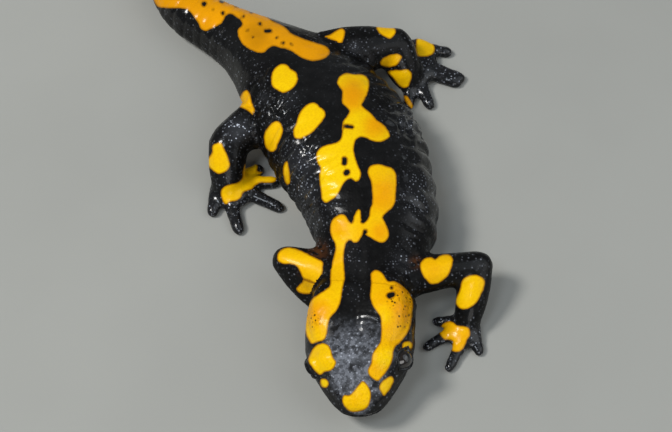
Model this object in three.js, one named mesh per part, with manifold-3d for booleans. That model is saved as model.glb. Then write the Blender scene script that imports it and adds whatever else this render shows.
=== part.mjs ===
// A life-size fire salamander, an adult female at rest on a level floor.
// Millimetres, +Z up, floor at z = 0. The head points towards -Y and the animal's left side is +X.
// The body is one loft along a curved midline, with swellings for glands, eyelids and vent, made in lengths:
// head, lower jaw, neck, trunk, pelvis and tail. Each limb is an upper limb, a lower limb and a hand or foot.
import * as THREE from "three";
import { ParametricGeometry } from "three/addons/geometries/ParametricGeometry.js";
import { mergeVertices } from "three/addons/utils/BufferGeometryUtils.js";
import Module from "manifold-3d";

const wasm = await Module();
wasm.setup();

// ---------------------------------------------------------------- driving dimensions
const GAP = 0.3; // between neighbouring pieces
const BODY_SIDES = 22; // facets round the head and trunk
const TAIL_SIDES = 16;
const LIMB_SIDES = 10;
const TOE_SIDES = 6;
const RING_STEP = { head: 1.4, neck: 2.7, tail: 4.1 }; // the trunk's rings follow its ribs

// The body's midline seen from above, from the snout tip to the tail tip.
const MIDLINE = [
  [4.6, -43.2],
  [4.7, -34],
  [4.7, -25],
  [6.0, -16.5],
  [7.0, -8],
  [7.5, 1],
  [5.3, 10.5],
  [1.5, 19.8],
  [-4.2, 29.3],
  [-10.5, 38.4],
  [-18.0, 46.3],
  [-27.0, 53.6],
  [-32.4, 57.8],
  [-36.2, 63.2],
  [-38.2, 70.5],
  [-39.4, 79],
  [-41.2, 88],
  [-44.6, 97],
  [-49.6, 105],
  [-56.0, 112],
];

// Cross-sections, at distances along the midline from the snout tip: half the width, the height of the
// back, of the underside and of the widest level.
const SECTIONS = [
  { part: "snout tip", at: 0, half: 0, back: 7.0, under: 5.8, wide: 6.5 },
  { part: "upper lip", at: 0.4, half: 2.7, back: 8.6, under: 4.5, wide: 6.5 },
  { part: "nostrils", at: 1.5, half: 4.4, back: 9.7, under: 3.9, wide: 6.6 },
  { part: "muzzle", at: 4.7, half: 6.8, back: 11.1, under: 3.6, wide: 6.8 },
  { part: "eyes", at: 9.5, half: 9.4, back: 12.8, under: 3.6, wide: 7.2 },
  { part: "jaw corner", at: 14, half: 10.8, back: 14.0, under: 3.7, wide: 7.8 },
  { part: "glands", at: 19, half: 10.9, back: 14.7, under: 3.9, wide: 8.2 },
  { part: "throat fold", at: 24.5, half: 10.4, back: 14.9, under: 3.7, wide: 8.4 },
  { part: "neck", at: 28.5, half: 9.5, back: 15.1, under: 2.8, wide: 8.4 },
  { part: "shoulders", at: 34.5, half: 10.9, back: 16.2, under: 0.9, wide: 8.4 },
  { part: "breast", at: 40.5, half: 13.1, back: 17.4, under: -0.2, wide: 8.3 },
  { part: "ribs", at: 50.5, half: 14.6, back: 19.0, under: -0.3, wide: 8.2 },
  { part: "belly", at: 62.5, half: 16.4, back: 19.6, under: -0.3, wide: 8.2 },
  { part: "loins", at: 74.5, half: 15.5, back: 18.5, under: -0.25, wide: 8.0 },
  { part: "hips", at: 86.5, half: 12.4, back: 16.2, under: 0.2, wide: 7.7 },
  { part: "vent", at: 97.5, half: 8.3, back: 13.8, under: -0.15, wide: 6.9 },
  { part: "tail root", at: 104.5, half: 6.6, back: 12.5, under: 0.1, wide: 6.2 },
  { part: "tail quarter", at: 120.5, half: 5.4, back: 10.4, under: -0.15, wide: 5.1 },
  { part: "tail half", at: 140.5, half: 4.2, back: 8.1, under: -0.15, wide: 4.0 },
  { part: "tail three quarters", at: 160.5, half: 2.9, back: 5.6, under: -0.15, wide: 2.8 },
  { part: "tail end", at: 174.5, half: 1.8, back: 3.5, under: -0.15, wide: 1.8 },
  { part: "tail tip", at: 1, half: 0, back: 1.6, under: 0.4, wide: 1.0, last: true },
];

// The head is rolled a little to the animal's right, and the back of the trunk leans the same way.
const degrees = THREE.MathUtils.degToRad;
const HEAD_ROLL = degrees(8);
const HEAD_END = 24.5;
const ROLL_FADE_END = 36;
const BACK_LEAN = -2.4;
const LEAN_RISE = [26, 44];
const LEAN_FALL = [76, 100];

// Ribs show on the flanks as bulges between grooves.
const FIRST_GROOVE = 38.5;
const GROOVE_PITCH = 3.9;
const GROOVE_COUNT = 12;
const RIB_BULGE = 0.35;

const EYE = { at: 9.9, side: 7.8, z: 9.4, radius: 2.3 };
const MOUTH = { z: 6.2, back: 16 };

// Swellings of the skin: how far from the snout tip, how far round from the left side, their reach along and
// round the body, how far they stand out and which way; angles in degrees. A paired one is on both sides.
const SWELLINGS = [
  { part: "eyelid", at: 9.6, turn: 56, long: 3.6, wide: 4, out: 2.2, towards: 58, pair: true },
  { part: "gland", at: 20.5, turn: 50, long: 8.8, wide: 4.6, out: 2, towards: 46, pair: true },
  { part: "left loin", at: 83, turn: 0, long: 9.5, wide: 9, out: 2.5, towards: 0 },
  { part: "vent", at: 98, turn: -90, long: 7.5, wide: 5.5, out: 1.2, towards: -90 },
];

// Where the body is parted behind the head, as distances from the snout tip; the last runs to the tail tip.
const BODY_PARTS = [
  { name: "neck", from: HEAD_END, to: 33 },
  { name: "trunk_front", from: 33, to: 58 },
  { name: "trunk_rear", from: 58, to: 82 },
  { name: "pelvis", from: 82, to: 99 },
  { name: "tail_root", from: 99, to: 125, sides: TAIL_SIDES },
  { name: "tail_middle", from: 125, to: 154, sides: TAIL_SIDES },
  { name: "tail_end", from: 154, sides: TAIL_SIDES },
];

// Limbs: joints as [x, y, z], radii at the start, middle and end of both lengths, and toes from the inner one
// outwards, from the palm or sole to the tip on the floor.
const LIMBS = [
  {
    side: "left",
    names: ["upper_arm", "forearm", "hand"],
    joints: [
      [11.7, -14.0, 8.6],
      [28.3, -10.9, 8.6],
      [26.2, -19.6, 3.4],
    ],
    upper: [4.6, 3.7, 3.0],
    lower: [2.9, 3.3, 2.8],
    pad: { x: 25.3, y: -21.8, long: 3.7, wide: 3.7, high: 1.75, turn: 0.3 },
    toes: [
      { root: [24.1, -19.4], tip: [19.2, -19.2] },
      { root: [23.4, -21.6], tip: [17.2, -25.6] },
      { root: [25.2, -23.6], tip: [21.8, -30.6] },
      { root: [27.4, -21.4], tip: [28.3, -27.0] },
    ],
    toe: 1.1,
  },
  {
    side: "right",
    names: ["upper_arm", "forearm", "hand"],
    joints: [
      [1.6, -14.2, 9.4],
      [-9.8, -9.9, 8.8],
      [-3.4, -15.6, 3.3],
    ],
    upper: [4.6, 3.9, 3.1],
    lower: [3.0, 3.3, 2.6],
    pad: { x: -1.4, y: -17.8, long: 3.6, wide: 3.6, high: 1.6, turn: -0.8 },
    toes: [
      { root: [0.2, -16.8], tip: [5.2, -15.2] },
      { root: [0.2, -18.4], tip: [7.0, -20.4] },
      { root: [-0.9, -19.6], tip: [3.6, -25.2] },
      { root: [-2.4, -19.2], tip: [-2.6, -24.8] },
    ],
    toe: 1.1,
  },
  {
    side: "left",
    names: ["thigh", "shank", "foot"],
    joints: [
      [-2.6, 43.0, 8.4],
      [12.9, 46.2, 8.3],
      [15.2, 42.2, 3.6],
    ],
    upper: [5.5, 5.6, 3.6],
    lower: [3.8, 4.0, 3.8],
    pad: { x: 17.8, y: 46.2, long: 7.2, wide: 4.4, high: 1.95, turn: -0.1 },
    toes: [
      { root: [16.2, 40.0], tip: [15.8, 34.3] },
      { root: [18.2, 41.2], tip: [20.7, 34.4] },
      { root: [20.0, 44.0], tip: [27.3, 41.0] },
      { root: [20.4, 45.6], tip: [28.3, 42.4] },
      { root: [19.9, 50.6], tip: [25.7, 50.0] },
    ],
    toe: 1.15,
  },
  {
    side: "right",
    names: ["thigh", "shank", "foot"],
    joints: [
      [-12.2, 30.2, 7.9],
      [-22.6, 19.5, 8.3],
      [-22.8, 13.2, 3.5],
    ],
    upper: [4.8, 4.7, 4.1],
    lower: [3.9, 4.0, 3.4],
    pad: { x: -21.6, y: 12.4, long: 4.6, wide: 4.4, high: 1.85, turn: -0.5 },
    toes: [
      { root: [-19.7, 15.8], tip: [-15.7, 18.5] },
      { root: [-19.2, 14.2], tip: [-12.0, 14.8] },
      { root: [-18.9, 12.0], tip: [-11.1, 7.9] },
      { root: [-22.2, 9.8], tip: [-19.9, 1.8] },
      { root: [-25.0, 12.8], tip: [-25.8, 6.2] },
    ],
    toe: 1.2,
  },
];

// ---------------------------------------------------------------- materials
const matt = (colour, roughness) => new THREE.MeshStandardMaterial({ color: colour, roughness, metalness: 0 });
const SKIN = matt(0x17181a, 0.35);
const EYE_DARK = matt(0x0b0806, 0.1);

// ---------------------------------------------------------------- solids
function toSolid(geometry) {
  const bare = new THREE.BufferGeometry();
  bare.setAttribute("position", geometry.getAttribute("position").clone());
  if (geometry.index) bare.setIndex(geometry.index.clone());
  const merged = mergeVertices(bare, 1e-4);
  const index = merged.index.array;
  const kept = [];
  for (let i = 0; i < index.length; i += 3) {
    const [a, b, c] = [index[i], index[i + 1], index[i + 2]];
    if (a !== b && b !== c && c !== a) kept.push(a, b, c);
  }
  const vertProperties = new Float32Array(merged.attributes.position.array);
  const triVerts = new Uint32Array(kept);
  return new wasm.Manifold(new wasm.Mesh({ numProp: 3, vertProperties, triVerts }));
}

function toGeometry(solid) {
  const mesh = solid.getMesh();
  const geometry = new THREE.BufferGeometry();
  geometry.setAttribute("position", new THREE.BufferAttribute(new Float32Array(mesh.vertProperties), 3));
  geometry.setIndex(new THREE.BufferAttribute(new Uint32Array(mesh.triVerts), 1));
  geometry.computeVertexNormals();
  return geometry;
}

const FLOOR_BLOCK = toSolid(new THREE.BoxGeometry(400, 400, 20).translate(0, 0, -10));
const onFloor = (solid) => solid.subtract(FLOOR_BLOCK);

// ---------------------------------------------------------------- the body's midline and sections
const midline = new THREE.CatmullRomCurve3(
  MIDLINE.map(([x, y]) => new THREE.Vector3(x, y, 0)),
  false,
  "centripetal",
);
midline.arcLengthDivisions = 800;
const BODY_LENGTH = midline.getLength();

const smooth = (a, b, x) => THREE.MathUtils.smoothstep(x, a, b);

// A size at a distance along the body: a cubic through the stations that never overshoots them.
const stations = SECTIONS.map((s) => ({ ...s, at: s.last ? BODY_LENGTH : s.at }));
function sizeAt(key, at) {
  const last = stations.length - 1;
  let i = 0;
  while (i < last - 1 && stations[i + 1].at < at) i++;
  const slope = (k) => (stations[k + 1][key] - stations[k][key]) / (stations[k + 1].at - stations[k].at);
  const tangent = (k) => {
    if (k === 0) return slope(0);
    if (k === last) return slope(last - 1);
    const [before, after] = [slope(k - 1), slope(k)];
    return before * after <= 0 ? 0 : (2 * before * after) / (before + after);
  };
  const [p, q] = [stations[i], stations[i + 1]];
  const h = q.at - p.at;
  const t = THREE.MathUtils.clamp((at - p.at) / h, 0, 1);
  const [t2, t3] = [t * t, t * t * t];
  return (
    (2 * t3 - 3 * t2 + 1) * p[key] +
    (t3 - 2 * t2 + t) * h * tangent(i) +
    (3 * t2 - 2 * t3) * q[key] +
    (t3 - t2) * h * tangent(i + 1)
  );
}

// The frame of a section: its place on the midline and the direction of the animal's left side.
function frameAt(at) {
  const u = THREE.MathUtils.clamp(at / BODY_LENGTH, 0, 1);
  const place = midline.getPointAt(u);
  const along = midline.getTangentAt(u);
  return { place, left: new THREE.Vector3(along.y, -along.x, 0) };
}

const rollAt = (at) => HEAD_ROLL * (1 - smooth(HEAD_END, ROLL_FADE_END, at));
const leanAt = (at) => BACK_LEAN * smooth(...LEAN_RISE, at) * (1 - smooth(...LEAN_FALL, at));

// A point of the section plane, given sideways and in height, rolled and leaned with the body.
function bodyPoint(at, side, z) {
  const wide = sizeAt("wide", at);
  const back = sizeAt("back", at);
  const roll = rollAt(at);
  const up = z - wide;
  const rolledSide = side * Math.cos(roll) - up * Math.sin(roll);
  const rolledUp = side * Math.sin(roll) + up * Math.cos(roll);
  const leaned = rolledSide + leanAt(at) * Math.max(0, rolledUp / (back - wide)) ** 2;
  const { place, left } = frameAt(at);
  return place.clone().addScaledVector(left, leaned).setZ(wide + rolledUp);
}

// How far the ribs push the flank out at a distance along the body.
function ribBulge(at) {
  const end = FIRST_GROOVE + GROOVE_PITCH * GROOVE_COUNT;
  const reach = smooth(FIRST_GROOVE - 3, FIRST_GROOVE + 3, at) * (1 - smooth(end - 3, end + 3, at));
  const phase = ((at - FIRST_GROOVE) / GROOVE_PITCH) * Math.PI;
  return RIB_BULGE * reach * (Math.abs(Math.sin(phase)) - 0.6);
}

// How far the skin stands out at a point of a section, as a sideways and an upward part.
function swelling(at, turn, radius) {
  const out = { side: 0, up: 0 };
  for (const bump of SWELLINGS) {
    for (const mirror of bump.pair ? [false, true] : [false]) {
      const place = degrees(mirror ? 180 - bump.turn : bump.turn);
      const away = Math.atan2(Math.sin(turn - place), Math.cos(turn - place));
      const far = ((at - bump.at) / bump.long) ** 2 + ((away * radius) / bump.wide) ** 2;
      if (far >= 1) continue;
      const height = bump.out * (1 - far) ** 2;
      out.side += height * Math.cos(degrees(bump.towards)) * (mirror ? -1 : 1);
      out.up += height * Math.sin(degrees(bump.towards));
    }
  }
  return out;
}

const UPPER_SQUARENESS = 2.15;
const LOWER_SQUARENESS = 2.5;
function sectionPoint(at, turn, grow) {
  const c = Math.cos(turn);
  const s = Math.sin(turn);
  const squareness = s >= 0 ? UPPER_SQUARENESS : LOWER_SQUARENESS;
  const scale = (Math.abs(c) ** squareness + Math.abs(s) ** squareness) ** (-1 / squareness);
  const wide = sizeAt("wide", at);
  const up = sizeAt("back", at) - wide + grow;
  const down = wide - sizeAt("under", at) + grow;
  const flank = Math.max(0, 1 - Math.abs(s) * 0.9);
  const half = sizeAt("half", at) + grow + ribBulge(at) * flank * 2;
  const level = (s >= 0 ? up : down) * s * scale;
  const swell = swelling(at, turn, Math.hypot(half * c, level));
  return bodyPoint(at, half * c * scale + swell.side, wide + level + swell.up);
}

// The stations of the loft's rings: close at the rounded snout, then one on every rib and groove of the
// flanks, then wider apart along the tail.
const MUZZLE_END = 4.6;
const JAW_CORNER = 14;
const TRUNK_END = FIRST_GROOVE + GROOVE_PITCH * GROOVE_COUNT;
function ringStations() {
  const rings = [0.12, 0.45, 1, 1.9, 3.1];
  const spread = (from, to, step) => {
    const count = Math.round((to - from) / step);
    for (let k = 0; k < count; k++) rings.push(from + ((to - from) * k) / count);
  };
  spread(MUZZLE_END, JAW_CORNER, RING_STEP.head);
  spread(JAW_CORNER, FIRST_GROOVE, RING_STEP.neck);
  spread(FIRST_GROOVE, TRUNK_END, GROOVE_PITCH / 2);
  spread(TRUNK_END, BODY_LENGTH - 3, RING_STEP.tail);
  rings.push(BODY_LENGTH - 3, BODY_LENGTH - 1.4, BODY_LENGTH - 0.4);
  return rings;
}
const RINGS = ringStations();

// The body's loft between two stations, closed by a flat fan at each end.
function bodyLoft(from, to, { grow = 0, sides = BODY_SIDES } = {}) {
  const inner = RINGS.filter((at) => at > from + 0.5 && at < to - 0.5);
  const snout = from === 0 ? RINGS.filter((at) => at <= 0.5) : [from];
  const end = to === BODY_LENGTH ? RINGS.filter((at) => at >= to - 0.5) : [to];
  const rings = [...snout, ...inner, ...end];
  const stacks = rings.length + 1;
  const middle = (at) => bodyPoint(at, 0, sizeAt("wide", at));
  const point = (u, v, target) => {
    const k = Math.round(v * stacks);
    if (k === 0) target.copy(middle(from));
    else if (k === stacks) target.copy(middle(to));
    else target.copy(sectionPoint(rings[k - 1], (1 - u) * 2 * Math.PI, grow));
  };
  return toSolid(new ParametricGeometry(point, sides, stacks));
}

function eyeball(sign, grow = 0) {
  const place = bodyPoint(EYE.at, sign * EYE.side, EYE.z);
  return toSolid(new THREE.SphereGeometry(EYE.radius + grow, 14, 9).translate(place.x, place.y, place.z));
}

// ---------------------------------------------------------------- limbs
// A limb piece with rounded ends, thick in its middle, from one joint to the next.
function limbPiece(a, b, [startRadius, middleRadius, endRadius], grow = 0, flat = 0.92) {
  const length = a.distanceTo(b);
  const profile = [];
  const capSteps = 2;
  for (let k = 0; k <= capSteps; k++) {
    const turn = (k / capSteps) * (Math.PI / 2);
    const radius = startRadius + grow;
    profile.push(new THREE.Vector2(k ? radius * Math.sin(turn) : 0, -radius * Math.cos(turn)));
  }
  const steps = 3;
  for (let k = 1; k < steps; k++) {
    const t = k / steps;
    const straight = THREE.MathUtils.lerp(startRadius, endRadius, t);
    const swell = (middleRadius - (startRadius + endRadius) / 2) * Math.sin(Math.PI * t);
    profile.push(new THREE.Vector2(straight + swell + grow, length * t));
  }
  for (let k = 0; k <= capSteps; k++) {
    const turn = (k / capSteps) * (Math.PI / 2);
    const radius = endRadius + grow;
    const across = k < capSteps ? radius * Math.cos(turn) : 0;
    profile.push(new THREE.Vector2(across, length + radius * Math.sin(turn)));
  }
  const lathe = new THREE.LatheGeometry(profile, LIMB_SIDES).scale(1, 1, flat);
  const along = b.clone().sub(a).normalize();
  const side = new THREE.Vector3().crossVectors(along, new THREE.Vector3(0, 0, 1)).normalize();
  const over = new THREE.Vector3().crossVectors(side, along);
  const turned = new THREE.Matrix4().makeBasis(side, along, over).setPosition(a);
  return toSolid(lathe.applyMatrix4(turned));
}

// A toe: a slim ray from the palm or sole to its tip, with a soft swelling before the end.
function toe(pad, { root, tip: [tipX, tipY] }, radius) {
  const from = new THREE.Vector3(...root, pad.high * 0.75);
  const tip = new THREE.Vector3(tipX, tipY, radius * 0.72);
  const reach = from.distanceTo(tip);
  const shape = [
    [0, 0],
    [0, 1.25],
    [0.35, 1.12],
    [0.7, 1.0],
    [0.9, 0.9],
    [0.98, 0.5],
    [1, 0],
  ];
  const profile = shape.map(([t, share]) => new THREE.Vector2(share * radius, t * reach));
  const lathe = new THREE.LatheGeometry(profile, TOE_SIDES).scale(1, 1, 0.85);
  const along = tip.clone().sub(from).normalize();
  const side = new THREE.Vector3().crossVectors(along, new THREE.Vector3(0, 0, 1)).normalize();
  const over = new THREE.Vector3().crossVectors(side, along);
  return toSolid(lathe.applyMatrix4(new THREE.Matrix4().makeBasis(side, along, over).setPosition(from)));
}

function padSolid({ x, y, long, wide, high, turn }) {
  const ball = new THREE.SphereGeometry(1, 12, 6).rotateX(Math.PI / 2).scale(wide, long, high);
  return toSolid(ball.rotateZ(turn).translate(x, y, high * 0.85));
}

function handSolid(limb) {
  return limb.toes.reduce((hand, ray) => hand.add(toe(limb.pad, ray, limb.toe)), padSolid(limb.pad));
}

// ---------------------------------------------------------------- building
const salamander = new THREE.Group();
salamander.name = "fire_salamander";

function addPiece(name, solid, material) {
  const mesh = new THREE.Mesh(toGeometry(solid), material);
  mesh.name = name;
  salamander.add(mesh);
}

// Everything on the far side of a plane, as a block that reaches past the animal.
const BLOCK = 80;
function beyond(place, direction, gap = GAP / 2) {
  const block = new THREE.BoxGeometry(BLOCK, BLOCK, BLOCK).translate(0, 0, BLOCK / 2 + gap);
  const up = new THREE.Vector3(0, 0, 1);
  const turn = new THREE.Quaternion().setFromUnitVectors(up, direction.clone().normalize());
  return toSolid(block.applyQuaternion(turn).translate(place.x, place.y, place.z));
}

const SIDES = [
  { side: "left", sign: 1 },
  { side: "right", sign: -1 },
];

// The head, with sockets for the eyes.
const sockets = eyeball(1, GAP).add(eyeball(-1, GAP));
const wholeHead = bodyLoft(0, HEAD_END - GAP / 2).subtract(sockets);
const tailwards = midline.getTangentAt(MOUTH.back / BODY_LENGTH);

// The mouth line: the lower jaw is all below it and in front of the jaw corner.
const jawCorner = bodyPoint(MOUTH.back, 0, MOUTH.z);
const mouthUp = new THREE.Vector3(-Math.sin(HEAD_ROLL), 0, Math.cos(HEAD_ROLL));
const aboveMouth = (gap) => beyond(jawCorner, mouthUp, gap);
const behindMouth = (gap) => beyond(jawCorner, tailwards, gap);
addPiece("head", wholeHead.intersect(aboveMouth(GAP / 2).add(behindMouth(GAP / 2))), SKIN);
addPiece("lower_jaw", wholeHead.subtract(aboveMouth(-GAP / 2)).subtract(behindMouth(-GAP / 2)), SKIN);
for (const { side, sign } of SIDES) addPiece(`eye_${side}`, eyeball(sign), EYE_DARK);

for (const { name, from, to, sides } of BODY_PARTS) {
  const end = to ? to - GAP / 2 : BODY_LENGTH;
  addPiece(name, onFloor(bodyLoft(from + GAP / 2, end, { sides })), SKIN);
}

const grownBody = bodyLoft(0, BODY_LENGTH, { grow: GAP });
for (const limb of LIMBS) {
  const [root, bend, end] = limb.joints.map((joint) => new THREE.Vector3(...joint));
  const bare = limbPiece(root, bend, limb.upper).add(limbPiece(bend, end, limb.lower)).subtract(grownBody);
  const outwards = end.clone().sub(bend).normalize().sub(root.clone().sub(bend).normalize());
  const lower = bare.intersect(beyond(bend, outwards));
  const upper = bare.subtract(beyond(bend, outwards, -GAP / 2));
  const nearHand = limbPiece(bend, end, limb.lower, GAP);
  const hand = handSolid(limb).subtract(grownBody).subtract(nearHand);
  [upper, lower, hand].forEach((piece, k) => addPiece(`${limb.side}_${limb.names[k]}`, onFloor(piece), SKIN));
}

// The origin is under the middle of the animal, on the floor.
const outline = new THREE.Box3().setFromObject(salamander);
const middle = outline.getCenter(new THREE.Vector3());
salamander.position.set(-middle.x, -middle.y, 0);

export default salamander;
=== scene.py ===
"""Looks of a life-size fire salamander: one seamless wet skin, two eyes and a plain studio.

Millimetres in the numbers below, metres in Blender. The head points towards -Y, the animal's left side is +X
and the floor is at z = 0.
"""

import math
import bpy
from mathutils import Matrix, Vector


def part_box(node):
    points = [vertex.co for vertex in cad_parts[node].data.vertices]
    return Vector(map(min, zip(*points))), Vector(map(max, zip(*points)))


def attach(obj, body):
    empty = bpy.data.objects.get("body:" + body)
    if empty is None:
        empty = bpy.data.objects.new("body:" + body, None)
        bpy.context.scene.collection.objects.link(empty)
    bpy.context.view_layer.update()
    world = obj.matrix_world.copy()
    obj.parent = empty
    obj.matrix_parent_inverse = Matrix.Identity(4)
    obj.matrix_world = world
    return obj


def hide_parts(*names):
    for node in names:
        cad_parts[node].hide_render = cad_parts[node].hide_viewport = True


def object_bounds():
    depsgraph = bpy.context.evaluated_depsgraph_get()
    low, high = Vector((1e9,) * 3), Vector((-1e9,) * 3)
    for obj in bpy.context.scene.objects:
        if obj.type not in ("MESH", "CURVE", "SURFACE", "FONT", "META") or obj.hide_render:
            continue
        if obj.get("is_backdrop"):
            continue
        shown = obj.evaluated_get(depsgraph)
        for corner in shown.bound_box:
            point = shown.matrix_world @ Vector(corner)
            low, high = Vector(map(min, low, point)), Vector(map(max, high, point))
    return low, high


bl_info = {
    "name": "Fire Salamander",
    "version": (1, 0, 0),
    "blender": (4, 5, 0),
    "location": "View3D > Sidebar > Salamander",
    "description": "Makes the skin, the eyes and the studio of a life-size fire salamander",
    "category": "Object",
}

import bpy
import numpy as np
from bpy.props import FloatProperty, FloatVectorProperty, IntProperty, PointerProperty
from mathutils import Vector, noise
from mathutils.bvhtree import BVHTree
from mathutils.kdtree import KDTree

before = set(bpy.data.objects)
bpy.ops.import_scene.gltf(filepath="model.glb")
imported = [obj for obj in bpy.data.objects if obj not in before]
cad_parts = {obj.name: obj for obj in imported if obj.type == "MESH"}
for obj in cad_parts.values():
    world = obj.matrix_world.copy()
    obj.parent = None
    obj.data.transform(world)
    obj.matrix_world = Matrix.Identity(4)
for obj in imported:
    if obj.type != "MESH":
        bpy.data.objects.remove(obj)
CAD_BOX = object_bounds()

MM = 0.001

# ---------------------------------------------------------------- the frame's pieces
BODY_NODES = [
    "head", "lower_jaw", "neck", "trunk_front", "trunk_rear", "pelvis", "tail_root", "tail_middle",
    "tail_end",
]
ARM_NODES = ["upper_arm", "forearm", "hand"]
LEG_NODES = ["thigh", "shank", "foot"]
LIMB_NODES = {
    f"{side}_{limb}": [f"{side}_{node}" for node in nodes]
    for side in ("left", "right")
    for limb, nodes in (("arm", ARM_NODES), ("leg", LEG_NODES))
}
UPPER_LIMBS = [node for nodes in LIMB_NODES.values() for node in nodes[:2]]
DIGITS = [nodes[2] for nodes in LIMB_NODES.values()]
FLESH = BODY_NODES + UPPER_LIMBS + DIGITS
EYE_NODES = {"left": "eye_left", "right": "eye_right"}
SIDES = {"left": 1, "right": -1}

# ---------------------------------------------------------------- the body's midline
# The plan that the body was drawn on, moved so that the middle of the outline is the origin.
PLAN_SHIFT = np.array([12.482, -34.446])
MIDLINE = [
    (4.6, -43.2), (4.7, -34), (4.7, -25), (6.0, -16.5), (7.0, -8), (7.5, 1), (5.3, 10.5), (1.5, 19.8),
    (-4.2, 29.3), (-10.5, 38.4), (-18.0, 46.3), (-27.0, 53.6), (-32.4, 57.8), (-36.2, 63.2),
    (-38.2, 70.5), (-39.4, 79), (-41.2, 88), (-44.6, 97), (-49.6, 105), (-56.0, 112),
]
# Distance from the snout tip and the level where the body is widest there.
WIDEST = [
    (0, 6.5), (1.5, 6.6), (4.7, 6.8), (9.5, 7.2), (14, 7.8), (19, 8.2), (28.5, 8.4), (40.5, 8.3),
    (74.5, 8.0), (86.5, 7.7), (97.5, 6.9), (104.5, 6.2), (120.5, 5.1), (140.5, 4.0), (160.5, 2.8),
    (174.5, 1.8), (181, 1.0),
]

HEAD_ROLL = math.radians(8)
HEAD_END = 24.5
ROLL_FADE_END = 36

# ---------------------------------------------------------------- limbs
# Joints from shoulder or hip to wrist or ankle, the middle of the palm or sole, and each finger or toe from
# its root to its tip, on the plan.
LIMBS = {
    "left_arm": {
        "joints": [(11.7, -14.0, 8.6), (28.3, -10.9, 8.6), (26.2, -19.6, 3.4)],
        "pad": (25.3, -21.8, 1.5),
        "toes": [
            ((24.1, -19.4), (19.2, -19.2)),
            ((23.4, -21.6), (17.2, -25.6)),
            ((25.2, -23.6), (21.8, -30.6)),
            ((27.4, -21.4), (28.3, -27.0)),
        ],
    },
    "right_arm": {
        "joints": [(1.6, -14.2, 9.4), (-9.8, -9.9, 8.8), (-3.4, -15.6, 3.3)],
        "pad": (-1.4, -17.8, 1.4),
        "toes": [
            ((0.2, -16.8), (5.2, -15.2)),
            ((0.2, -18.4), (7.0, -20.4)),
            ((-0.9, -19.6), (3.6, -25.2)),
            ((-2.4, -19.2), (-2.6, -24.8)),
        ],
    },
    "left_leg": {
        "joints": [(-2.6, 43.0, 8.4), (12.9, 46.2, 8.3), (15.2, 42.2, 3.6)],
        "pad": (17.8, 46.2, 1.6),
        "toes": [
            ((16.2, 40.0), (15.8, 34.3)),
            ((18.2, 41.2), (20.7, 34.4)),
            ((20.0, 44.0), (27.3, 41.0)),
            ((20.4, 45.6), (28.3, 42.4)),
            ((19.9, 50.6), (25.7, 50.0)),
        ],
    },
    "right_leg": {
        "joints": [(-12.2, 30.2, 7.9), (-22.6, 19.5, 8.3), (-22.8, 13.2, 3.5)],
        "pad": (-21.6, 12.4, 1.6),
        "toes": [
            ((-19.7, 15.8), (-15.7, 18.5)),
            ((-19.2, 14.2), (-12.0, 14.8)),
            ((-18.9, 12.0), (-11.1, 7.9)),
            ((-22.2, 9.8), (-19.9, 1.8)),
            ((-25.0, 12.8), (-25.8, 6.2)),
        ],
    },
}

# ---------------------------------------------------------------- the camera
PICTURE = (672, 432)
PICTURE_EDGE = 60  # how far past the picture the blotches drawn on it reach, in picture points
CAMERA_AIM = Vector((*PLAN_SHIFT, 10.0)) * MM
CAMERA_DISTANCE = 340 * MM
CAMERA_ELEVATION = math.radians(56)
SENSOR_WIDTH = 36.0
LENS = 90.39
PICTURE_SCALE = 4.96  # picture points to a millimetre on the animal

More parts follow.
